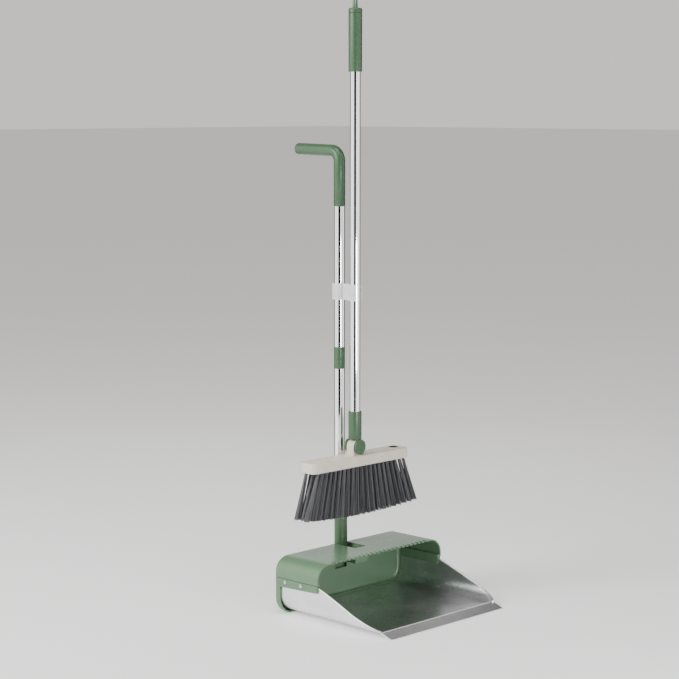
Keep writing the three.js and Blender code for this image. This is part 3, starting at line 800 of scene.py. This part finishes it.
def turned(name, profile, y, sides=64, wrap=False, x=0.0):
    """A body turned about a vertical axis from (radius, height) points, bottom first."""
    rings = []
    for radius, z in profile:
        turns = [i / sides * math.tau for i in range(sides)]
        rings.append([
            Vector((x + radius * math.cos(turn), y + radius * math.sin(turn), z)) for turn in turns
        ])
    return skin(name, rings, wrap)


def eased(low, high, share):
    """A value between two, which leaves the first and reaches the second gently."""
    return low + (high - low) * (3 * share ** 2 - 2 * share ** 3)


stem_sections = [(stem_low.z + 3 * mm * (1 - math.cos(t)), stem_radius - 3 * mm * (1 - math.sin(t)))
                 for t in (math.radians(15 * step) for step in range(7))]
stem_sections += [(z, stem_radius) for z in (step_from - 4 * mm, step_from)]
stem_sections += [(step_from + (step_to - step_from) * step / 10, stem_radius) for step in range(1, 11)]
stem_sections += [(stem_top - 0.6 * mm, stem_radius), (stem_top, stem_radius - 0.6 * mm)]
stem_rings = []
for z, radius in stem_sections:
    share = min(max((z - step_from) / (step_to - step_from), 0), 1)
    centre = eased(stem_y, pole_y, share)
    stem_rings.append([
        Vector((radius * math.cos(i / 64 * math.tau), centre + radius * math.sin(i / 64 * math.tau), z))
        for i in range(64)])
pole_foot = skin("pole_foot", stem_rings)
combine(pole_foot, "UNION",
        bar("X", 10 * mm, -hub_half, hub_half, pin_place),
        turned("spigot", [(spigot_radius, stem_top - 1 * mm), (spigot_radius, stem_high.z)], pole_y))
combine(pole_foot, "DIFFERENCE", bar("X", pin_bore, -past, past, pin_place))
soften(pole_foot, 0.3 * mm, 40)
dress(pole_foot, "pan_pole", "green_plastic", pole_green_shaded, "stem")


# ---------------------------------------------------------------- polished tubes
# Thin-walled stainless tubes, polished to a mirror: two in the pan's pole and one long one in
# the broom. Their ends are deburred and sit over the spigots of the fittings.
def polished_steel():
    """Mirror polish with hairline marks along the tube and a faint haze, and a dark edge tint, painted shade
    that darkens the reflection along the tube's edges.
    """
    made, tree, shader = new_material("polished_steel", Metallic=1, Anisotropic=0.1)
    # dark edge tint: painted shade on the reflection at grazing angles
    shader.inputs["Specular Tint"].default_value = (0.25, 0.26, 0.28, 1)
    hairs = noise(tree, stretched(tree, (1, 1, 0.02)), 3200, 2)
    drive(tree, shader, "Base Color", noise(tree, stretched(tree, (1, 1, 0.2)), 40, 2),
          (0.3, (0.84, 0.85, 0.86)), (0.7, (0.9, 0.905, 0.91)))
    drive(tree, shader, "Roughness", hairs, (0.3, 0.03), (0.75, 0.08))
    bump(tree, shader, hairs, 0.02, 0.03 * mm)
    return made


polish = polished_steel()
for node, body in (("lower_tube", "pan_pole"), ("upper_tube", "pan_pole"), ("broom_tube", "broom")):
    low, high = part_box(node)
    radius = high.x
    bore = radius - tube_wall
    chamfer = 0.25 * mm
    profile = [(radius - chamfer, low.z), (radius, low.z + chamfer), (radius, high.z - chamfer),
               (radius - chamfer, high.z), (bore, high.z), (bore, low.z)]
    polished = turned(f"polished_{node}", profile, (low.y + high.y) / 2, 96, wrap=True)
    polished.data.set_sharp_from_angle(angle=math.radians(35))
    dress(polished, body, "polished_tube", polish, node)


# ---------------------------------------------------------------- coupling and handle
# The green coupling is a sleeve with a spigot in each tube. The handle is one moulding too: a
# spigot, a straight length, a bend and a long arm with a rounded end.
def ringed(radius, bottom, top, corner, steps=4):
    """A turned profile with a small round at both of its ends."""
    turns = [math.radians(90 * step / steps) for step in range(steps + 1)]
    foot = [(radius - corner * (1 - math.sin(t)), bottom + corner * (1 - math.cos(t))) for t in turns]
    head = [(radius - corner * (1 - math.cos(t)), top - corner * (1 - math.sin(t))) for t in turns]
    return foot + head


upper_low, upper_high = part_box("upper_tube")
coupling_low, coupling_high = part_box("tube_coupling")
coupling = turned("coupling", ringed(coupling_high.x, tube_high.z + fit, upper_low.z - fit, 0.5 * mm), pole_y)
coupling_core = turned("core", [(spigot_radius, coupling_low.z), (spigot_radius, coupling_high.z)], pole_y)
combine(coupling, "UNION", coupling_core)
coupling.data.set_sharp_from_angle(angle=math.radians(35))
dress(coupling, "pan_pole", "green_plastic", pole_green_shaded, "tube_coupling")

handle_low, handle_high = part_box("pan_handle")
handle_radius = handle_high.x
handle_bend = 21 * mm
handle_bottom = upper_high.z + fit
arm_rise = 2 * mm
arm_height = handle_high.z - handle_radius - arm_rise
arm_end = handle_high.y - 0.3 * mm
arm_round = 4.5 * mm
handle_line, handle_radii = [], []
for z in (handle_bottom, handle_bottom + 0.6 * mm, arm_height - handle_bend):
    handle_line.append(Vector((0, pole_y, z)))
    handle_radii.append(handle_radius - (0.6 * mm if z == handle_bottom else 0))
for step in range(1, 17):
    turn = math.radians(90 * step / 16)
    handle_line.append(Vector((0, pole_y + handle_bend * (1 - math.cos(turn)),
                               arm_height - handle_bend * (1 - math.sin(turn)))))
    handle_radii.append(handle_radius)
arm_start = handle_line[-1]
arm_tip = Vector((0, arm_end, arm_height + arm_rise))
arm = (arm_tip - arm_start).normalized()
for step in range(9):
    turn = math.radians(90 * step / 8)
    handle_line.append(arm_tip - arm * arm_round * (1 - math.sin(turn)))
    handle_radii.append(handle_radius - arm_round * (1 - math.cos(turn)))
handle = sweep("handle", handle_line, handle_radii, 64)
handle_core = turned("core", [(spigot_radius, handle_low.z), (spigot_radius, handle_bottom + 1 * mm)], pole_y)
combine(handle, "UNION", handle_core)
handle.data.set_sharp_from_angle(angle=math.radians(50))
dress(handle, "pan_pole", "green_plastic", pole_green_shaded, "pan_handle")


# ---------------------------------------------------------------- snap clip
# Frosted polypropylene: a closed ring that slides on the pan's pole and, on a short web, an open
# ring with a straight-cut mouth that the broom's tube snaps into.
clip_low, clip_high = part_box("pole_clip")
broom_low, broom_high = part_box("broom_tube")
broom_y = (broom_low.y + broom_high.y) / 2
broom_radius = broom_high.x
clip_wall = 3.4 * mm
clip_mouth = 17 * mm


def frosted_plastic():
    """Translucent white plastic with a fine matt grain and cloudy depth."""
    made, tree, shader = new_material(
        "frosted_plastic", Transmission_Weight=0.25, IOR=1.49, Subsurface_Weight=0.35,
        Subsurface_Scale=3 * mm, Coat_Weight=0.1, Coat_Roughness=0.35)
    shader.inputs["Subsurface Radius"].default_value = (1, 1, 1)
    place = stretched(tree, (1, 1, 1))
    drive(tree, shader, "Base Color", noise(tree, place, 60, 3),
          (0.3, (0.76, 0.77, 0.785)), (0.7, (0.86, 0.87, 0.875)))
    drive(tree, shader, "Roughness", noise(tree, place, 500, 2), (0.3, 0.36), (0.7, 0.5))
    bump(tree, shader, noise(tree, place, 2000, 2), 0.1, 0.1 * mm)
    return made


pole_ring = tube_radius + fit
broom_ring = broom_radius + fit
snap_clip = bar("Z", pole_ring + clip_wall, clip_low.z, clip_high.z, (0, pole_y), 96)
combine(snap_clip, "UNION",
        bar("Z", broom_ring + clip_wall, clip_low.z, clip_high.z, (0, broom_y), 96),
        block((-1.4 * clip_wall, broom_y, clip_low.z), (1.4 * clip_wall, pole_y, clip_high.z)))
combine(snap_clip, "DIFFERENCE",
        bar("Z", pole_ring, 0, 1, (0, pole_y), 96), bar("Z", broom_ring, 0, 1, (0, broom_y), 96),
        block((-clip_mouth / 2, -1, 0), (clip_mouth / 2, broom_y, 1)))
soften(snap_clip, 0.7 * mm, 35, 3)
dress(snap_clip, "clip", "frosted_clip", frosted_plastic(), "pole_clip")


# ---------------------------------------------------------------- grip and end cap
# A green moulded sleeve pushed over the top of the broom's tube, and the cap that closes it,
# with the two ends of the cord coming out of its middle.
grip_low, grip_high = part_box("grip")
cap_low, cap_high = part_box("grip_cap")
sleeve = turned("grip_sleeve", [
    *ringed(grip_high.x, grip_low.z, grip_high.z, 0.9 * mm),
    (broom_radius + fit, grip_high.z), (broom_radius + fit, grip_low.z)], broom_y, 80, wrap=True)
sleeve.data.set_sharp_from_angle(angle=math.radians(40))
dress(sleeve, "broom", "green_plastic", pole_green_shaded, "grip")
cap_round = 3 * mm
cap_turns = [math.radians(90 * step / 8) for step in range(9)]
end_cap = turned("end_cap", [
    (cap_high.x - 0.5 * mm, grip_high.z + fit), (cap_high.x, grip_high.z + fit + 0.5 * mm),
    *[(cap_high.x - cap_round * (1 - math.cos(t)), cap_high.z - cap_round * (1 - math.sin(t)))
      for t in cap_turns],
], broom_y, 80)
plug_radius = broom_radius - tube_wall - fit
plug = turned("plug", [(plug_radius, cap_low.z), (plug_radius, grip_high.z + 2 * mm)], broom_y)
combine(end_cap, "UNION", plug)
end_cap.data.set_sharp_from_angle(angle=math.radians(40))
dress(end_cap, "broom", "green_plastic", pole_green_shaded, "grip_cap")


# ---------------------------------------------------------------- fork
# The green socket at the foot of the broom's tube. Its two round ears straddle the tongue of the
# head, each with a pocket for the bolt's end, closed by a pressed-in disc.
fork_low, fork_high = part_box("fork_ferrule")
pivot_z = 319.5 * mm
bolt_bore = 3.3 * mm
ear_radius = pivot_z - fork_low.z
ear_reach = broom_y - fork_low.y
ear_wall = 5 * mm
ear_inner = ear_reach - ear_wall
pocket_radius = 7 * mm
pocket_depth = 3 * mm
socket_bottom = 334.2 * mm
socket_radius = 13.4 * mm
fork = turned("fork", ringed(socket_radius, socket_bottom, fork_high.z, 1.5 * mm), broom_y, 80)
webs = bar("Z", socket_radius, pivot_z, socket_bottom + 1 * mm, (0, broom_y), 80)
combine(webs, "DIFFERENCE", block((-1, broom_y - ear_inner, -1), (1, broom_y + ear_inner, 1)))
fork_parts = [webs]
pockets = []
for side in (-1, 1):
    y0, y1 = sorted((broom_y + side * ear_inner, broom_y + side * ear_reach))
    fork_parts.append(bar("Y", ear_radius, y0, y1, (0, pivot_z), 96))
    y0, y1 = sorted((broom_y + side * (ear_reach - pocket_depth), broom_y + side * (ear_reach + 1 * mm)))
    pockets.append(bar("Y", pocket_radius, y0, y1, (0, pivot_z), 64))
for part in fork_parts:
    combine(fork, "UNION", part)
combine(fork, "DIFFERENCE", *pockets,
        bar("Z", broom_radius + fit, broom_low.z - fit, 1, (0, broom_y), 80),
        bar("Y", bolt_bore, -1, 1, (0, pivot_z), 32))
soften(fork, 0.6 * mm, 35, 3)
dress(fork, "broom", "green_plastic", pole_green_shaded, "fork_ferrule")
for node in ("ear_cap_front", "ear_cap_rear"):
    low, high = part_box(node)
    cover = bar("Y", high.x, low.y, high.y, (0, pivot_z), 64)
    cover.name = cover.data.name = f"pressed_{node}"
    soften(cover, 0.3 * mm)
    dress(cover, "broom", "green_plastic", pole_green_shaded, node)


# ---------------------------------------------------------------- broom head
# A solid cream moulding with rounded corners and softened edges. A tongue in the middle goes between
# the fork's ears, and a raised ring near one end leads into a blind hole.
head_low, head_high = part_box("broom_head")
head_half = head_high.x
head_depth = (head_high.y - head_low.y) / 2
head_top = 302.8 * mm
head_edge = 3 * mm
head_corner = 12 * mm
tongue_radius = 14 * mm
tongue_half = 9.4 * mm
recess_x = 112 * mm
recess_radius = 8.5 * mm
recess_depth = 16 * mm


def cream_moulding():
    """Satin cream plastic with a fine grain and a slight warm mottle, and near-black inside the hole as
    painted shade.
    """
    made, tree, shader = new_material("cream_moulding", Subsurface_Weight=0.08, Subsurface_Scale=2 * mm)
    place = stretched(tree, (1, 1, 1))
    colour = ramp(tree, noise(tree, place, 45, 3), (0.3, (0.62, 0.575, 0.47)), (0.7, (0.68, 0.635, 0.53)))
    # painted shade: the faces of the hole take a near-black colour
    bore = add_node(tree, "ShaderNodeAttribute", attribute_name="bore").outputs["Fac"]
    mixed = add_node(tree, "ShaderNodeMix", data_type="RGBA")
    mixed.inputs[7].default_value = (0.012, 0.012, 0.012, 1)
    tree.links.new(bore, mixed.inputs[0])
    tree.links.new(colour, mixed.inputs[6])
    tree.links.new(mixed.outputs[2], shader.inputs["Base Color"])
    drive(tree, shader, "Roughness", noise(tree, place, 220, 3), (0.3, 0.42), (0.7, 0.56))
    bump(tree, shader, noise(tree, place, 2000, 2), 0.12, 0.12 * mm)
    return made


head_rings = []
for inset, z in ringed(0.0, head_low.z, head_top, head_edge, 6):
    outline = round_frame(head_half + inset, -head_depth - inset, head_depth + inset, head_corner + inset)
    head_rings.append([Vector((x, broom_y + y, z)) for x, y in outline])
head = skin("cream_head", head_rings)
tongue_turns = [math.radians(180 * step / 32) for step in range(33)]
tongue_side = [(tongue_radius * math.cos(t), pivot_z + tongue_radius * math.sin(t)) for t in tongue_turns]
tongue_side += [(-tongue_radius, head_top - 1 * mm), (tongue_radius, head_top - 1 * mm)]
tongue = skin("tongue", [
    [Vector((x, y, z)) for x, z in tongue_side] for y in (broom_y - tongue_half, broom_y + tongue_half)])
ring_lip = bar("Z", recess_radius + 2 * mm, head_top - 1 * mm, head_top + 1.2 * mm, (recess_x, broom_y), 64)
combine(head, "UNION", tongue, ring_lip)
combine(head, "DIFFERENCE",
        bar("Z", recess_radius, head_top - recess_depth, 1, (recess_x, broom_y), 64),
        bar("Y", bolt_bore, -1, 1, (0, pivot_z), 32))
# marks the hole's faces for their painted shade
mark_faces(head, "bore", lambda face: float(
    math.hypot(face.center.x - recess_x, face.center.y - broom_y) < recess_radius + 0.2 * mm))
soften(head, 0.6 * mm, 40, 3)
dress(head, "brush", "cream_plastic", cream_moulding(), "broom_head")


# ---------------------------------------------------------------- bristles
# Tufts of dark grey filament in rows of holes under the head. Each tuft opens into a cone, and
# the outer ones lean outwards, so that the tips spread and lie on a shallow arc.
tuft_columns = 21
tuft_rows = 3
tuft_strands = 46
strand_radius = 0.55 * mm
bristle_low, bristle_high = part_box("bristles")
tip_reach = (bristle_high.x - bristle_low.x) / 2
tip_shift = (bristle_high.x + bristle_low.x) / 2
root_reach = 133 * mm
root_shift = 4 * mm
root_depth = 19 * mm
tip_depth = (bristle_high.y - bristle_low.y) / 2
bristle_length = bristle_high.z - bristle_low.z
tip_rise = 8 * mm


def dark_filament():
    """Dark grey polymer filament, slightly glossy, a little different from strand to strand."""
    made, tree, shader = new_material("dark_filament", Roughness=0.42, Sheen_Weight=0.1)
    strand = add_node(tree, "ShaderNodeAttribute", attribute_name="strand").outputs["Fac"]
    wear_and_shade = noise(tree, stretched(tree, (1, 1, 1)), 90, 3)
    mixed = math_node(tree, "MULTIPLY_ADD", wear_and_shade, 0.4, math_node(tree, "MULTIPLY", strand, 0.6))
    drive(tree, shader, "Base Color", mixed, (0.1, (0.028, 0.029, 0.033)), (0.9, (0.1, 0.103, 0.112)))
    return made


def bristle_tree(material):
    """Straight filaments in conical tufts, set out in columns and rows."""
    tree = bpy.data.node_groups.new("bristles", "GeometryNodeTree")
    tree.interface.new_socket("Geometry", in_out="OUTPUT", socket_type="NodeSocketGeometry")
    for name, kind, value in (
            ("Columns", "NodeSocketInt", tuft_columns), ("Rows", "NodeSocketInt", tuft_rows),
            ("Strands", "NodeSocketInt", tuft_strands), ("Strand radius", "NodeSocketFloat", strand_radius),
            ("Root reach", "NodeSocketFloat", root_reach - 4 * mm),
            ("Tip reach", "NodeSocketFloat", tip_reach - 8.5 * mm),
            ("Root shift", "NodeSocketFloat", root_shift), ("Tip shift", "NodeSocketFloat", tip_shift),
            ("Root depth", "NodeSocketFloat", root_depth - 3 * mm),
            ("Tip depth", "NodeSocketFloat", tip_depth - 7.2 * mm),
            ("Hole radius", "NodeSocketFloat", 3.1 * mm), ("Tuft radius", "NodeSocketFloat", 6.6 * mm),
            ("Length", "NodeSocketFloat", bristle_length), ("Tip rise", "NodeSocketFloat", tip_rise),
            ("Top", "NodeSocketFloat", bristle_high.z), ("Middle", "NodeSocketFloat", broom_y),
            ("Seed", "NodeSocketInt", 7)):
        tree.interface.new_socket(name, in_out="INPUT", socket_type=kind).default_value = value
    given = add_node(tree, "NodeGroupInput").outputs

    def do(operation, *values):
        return math_node(tree, operation, *values)

    def blend(low, high, share):
        return do("MULTIPLY_ADD", do("SUBTRACT", high, low), share, low)

    def chance(low, high, number):
        seed = do("ADD", given["Seed"], number)
        made = add_node(tree, "FunctionNodeRandomValue", {"Seed": seed}, data_type="FLOAT")
        made.inputs[2].default_value = low
        made.inputs[3].default_value = high
        return made.outputs[1]

    def keep(geometry, value, name):
        return add_node(tree, "GeometryNodeStoreNamedAttribute", {
            "Geometry": geometry, "Name": name, "Value": value}, data_type="FLOAT").outputs[0]

    def kept(name):
        return add_node(tree, "GeometryNodeInputNamedAttribute", {"Name": name}, data_type="FLOAT").outputs[0]

    columns = do("MULTIPLY", given["Columns"], given["Strands"])
    count = do("MULTIPLY", columns, given["Rows"])
    points = add_node(tree, "GeometryNodePoints", {"Count": count}).outputs[0]
    index = add_node(tree, "GeometryNodeInputIndex").outputs[0]
    tuft = do("FLOOR", do("DIVIDE", index, given["Strands"]))
    column = do("FLOORED_MODULO", tuft, given["Columns"])
    row = do("FLOOR", do("DIVIDE", tuft, given["Columns"]))
    # every second row is set half a pitch over, as the holes are drilled
    stagger = do("MULTIPLY", do("SUBTRACT", do("FLOORED_MODULO", row, 2.0), 0.5), 0.28)
    across = do("DIVIDE", do("ADD", do("ADD", column, 0.5), stagger), given["Columns"])
    points = keep(points, do("MULTIPLY_ADD", across, 2.0, -1.0), "across")
    deep = do("SUBTRACT", do("DIVIDE", row, do("SUBTRACT", given["Rows"], 1.0)), 0.5)
    points = keep(points, do("MULTIPLY", deep, 2.0), "deep")
    points = keep(points, chance(0.0, math.tau, 1), "around")
    points = keep(points, do("SQRT", chance(0.0, 1.0, 2)), "out")
    points = keep(points, chance(0.0, 1.0, 3), "strand")
    points = keep(points, chance(0.985, 1.0, 4), "cut")
    line = add_node(tree, "GeometryNodeCurvePrimitiveLine", {"End": (0, 0, 1)}).outputs[0]
    line = add_node(tree, "GeometryNodeResampleCurve", {"Curve": line, "Count": 5}).outputs[0]
    strands = add_node(tree, "GeometryNodeInstanceOnPoints", {"Points": points, "Instance": line}).outputs[0]
    strands = add_node(tree, "GeometryNodeRealizeInstances", {"Geometry": strands}).outputs[0]
    place = add_node(tree, "GeometryNodeInputPosition").outputs[0]
    down = add_node(tree, "ShaderNodeSeparateXYZ", {"Vector": place}).outputs["Z"]
    spread = blend(given["Hole radius"], given["Tuft radius"], do("POWER", down, 1.25))
    off_x = do("MULTIPLY", do("MULTIPLY", do("COSINE", kept("around")), kept("out")), spread)
    off_y = do("MULTIPLY", do("MULTIPLY", do("SINE", kept("around")), kept("out")), spread)
    aside = do("ADD", off_x, blend(given["Root shift"], given["Tip shift"], down))
    x = do("MULTIPLY_ADD", blend(given["Root reach"], given["Tip reach"], down), kept("across"), aside)
    y = do("MULTIPLY_ADD", blend(given["Root depth"], given["Tip depth"], down), kept("deep"), off_y)
    rise = do("MULTIPLY", do("POWER", kept("across"), 2.0), given["Tip rise"])
    length = do("MULTIPLY", do("SUBTRACT", given["Length"], rise), kept("cut"))
    z = do("SUBTRACT", given["Top"], do("MULTIPLY", length, down))
    y = do("ADD", y, given["Middle"])
    where = add_node(tree, "ShaderNodeCombineXYZ", {"X": x, "Y": y, "Z": z}).outputs[0]
    strands = add_node(tree, "GeometryNodeSetPosition", {"Geometry": strands, "Position": where}).outputs[0]
    ring = add_node(tree, "GeometryNodeCurvePrimitiveCircle", {
        "Resolution": 4, "Radius": given["Strand radius"]}).outputs[0]
    solid = add_node(tree, "GeometryNodeCurveToMesh", {
        "Curve": strands, "Profile Curve": ring, "Fill Caps": True}).outputs[0]
    smooth = add_node(tree, "GeometryNodeSetShadeSmooth", {"Geometry": solid}).outputs[0]
    real = add_node(tree, "GeometryNodeRealizeInstances", {"Geometry": smooth}).outputs[0]
    painted = add_node(tree, "GeometryNodeSetMaterial", {"Geometry": real, "Material": material}).outputs[0]
    tree.links.new(painted, add_node(tree, "NodeGroupOutput").inputs[0])
    return tree


filament = dark_filament()
tufts = grow("bristle_tufts", bristle_tree(filament))
dress(tufts, "brush", "bristle_filament", filament, "bristles")


# ---------------------------------------------------------------- floor and light
# A plain pale floor that runs far back, a soft key from the left front and a weaker fill from the
# right. Tall bright and dark cards round the set show only in reflections, and band the tubes.
def pale_floor():
    """A plain pale ground with a slight glow of its own, so that it stays pale far back."""
    made, tree, shader = new_material(
        "pale_floor", Roughness=0.7, Specular_IOR_Level=0.2, Emission_Strength=0.33)
    shader.inputs["Emission Color"].default_value = (1, 0.965, 0.93, 1)
    drive(tree, shader, "Base Color", noise(tree, stretched(tree, (1, 1, 1)), 3, 2), (0.3, 0.86), (0.7, 0.88))
    return made


floor_mesh = bpy.data.meshes.new("floor")
floor_mesh.from_pydata([(-9, -9, 0), (60, -9, 0), (60, 60, 0), (-9, 60, 0)], [], [(0, 1, 2, 3)])
floor = bpy.data.objects.new("floor", floor_mesh)
collection.objects.link(floor)
floor.data.materials.append(pale_floor())


def soft_light(name, place, target, width, height, power):
    """A rectangular lamp that faces a target."""
    light = bpy.data.lights.new(name, "AREA")
    light.shape = "RECTANGLE"
    light.size = width
    light.size_y = height
    light.energy = power
    made = bpy.data.objects.new(name, light)
    made.location = place
    made.rotation_euler = (Vector(target) - Vector(place)).to_track_quat("-Z", "Y").to_euler()
    collection.objects.link(made)


def glow(name, strength):
    """An even glow, for a card that is seen only in reflections."""
    made = bpy.data.materials.new(name)
    made.use_nodes = True
    tree = made.node_tree
    tree.nodes.clear()
    source = tree.nodes.new("ShaderNodeEmission")
    source.inputs["Strength"].default_value = strength
    tree.links.new(source.outputs[0], tree.nodes.new("ShaderNodeOutputMaterial").inputs[0])
    return made


def card(name, start, stop, low, high, strength, reach=2.2, steps=12):
    """A tall curved card between two bearings, in degrees about the set, unseen but in reflections."""
    turns = [math.radians(start + (stop - start) * step / steps) for step in range(steps + 1)]
    corners = [(reach * math.cos(turn), reach * math.sin(turn), z) for z in (low, high) for turn in turns]
    faces = [(i, i + 1, i + steps + 2, i + steps + 1) for i in range(steps)]
    mesh = bpy.data.meshes.new(name)
    mesh.from_pydata(corners, [], faces)
    made = bpy.data.objects.new(name, mesh)
    collection.objects.link(made)
    mesh.materials.append(glow(name, strength))
    made.visible_camera = made.visible_diffuse = made.visible_shadow = False
    made.visible_transmission = made.visible_volume_scatter = False


bearing = math.degrees(math.atan2(camera.location.y, camera.location.x))
card("dark_front", bearing - 26, bearing + 20, 0.02, 3.0, 0.0)
card("bright_left", bearing - 112, bearing - 26, 0.02, 3.0, 2.1)
card("bright_right", bearing + 20, bearing + 105, 0.02, 3.0, 1.9)
card("bright_rear", bearing + 154, bearing + 206, 0.02, 1.2, 1.1)
card("dark_edge_left", bearing - 152, bearing - 120, 0.02, 1.8, 0.0, 1.2)
card("dark_edge_right", bearing + 116, bearing + 150, 0.02, 1.8, 0.0, 1.2)
soft_light("key", (-2.8, 0.9, 2.0), (0, 0, 0.4), 1.4, 1.8, 135)
soft_light("front", (-0.35, -1.75, 0.42), (0, 0, 0.06), 0.7, 0.4, 13)
soft_light("top", (-0.6, -0.6, 3.2), (0, 0, 0), 1.6, 1.6, 45)
world = bpy.data.worlds.new("studio")
world.use_nodes = True
backdrop = world.node_tree.nodes["Background"]
backdrop.inputs["Color"].default_value = (1, 0.965, 0.93, 1)
seen = world.node_tree.nodes.new("ShaderNodeLightPath").outputs["Is Camera Ray"]
level = math_node(world.node_tree, "MULTIPLY_ADD", seen, 0.48, 0.36)
world.node_tree.links.new(level, backdrop.inputs["Strength"])
bpy.context.scene.world = world
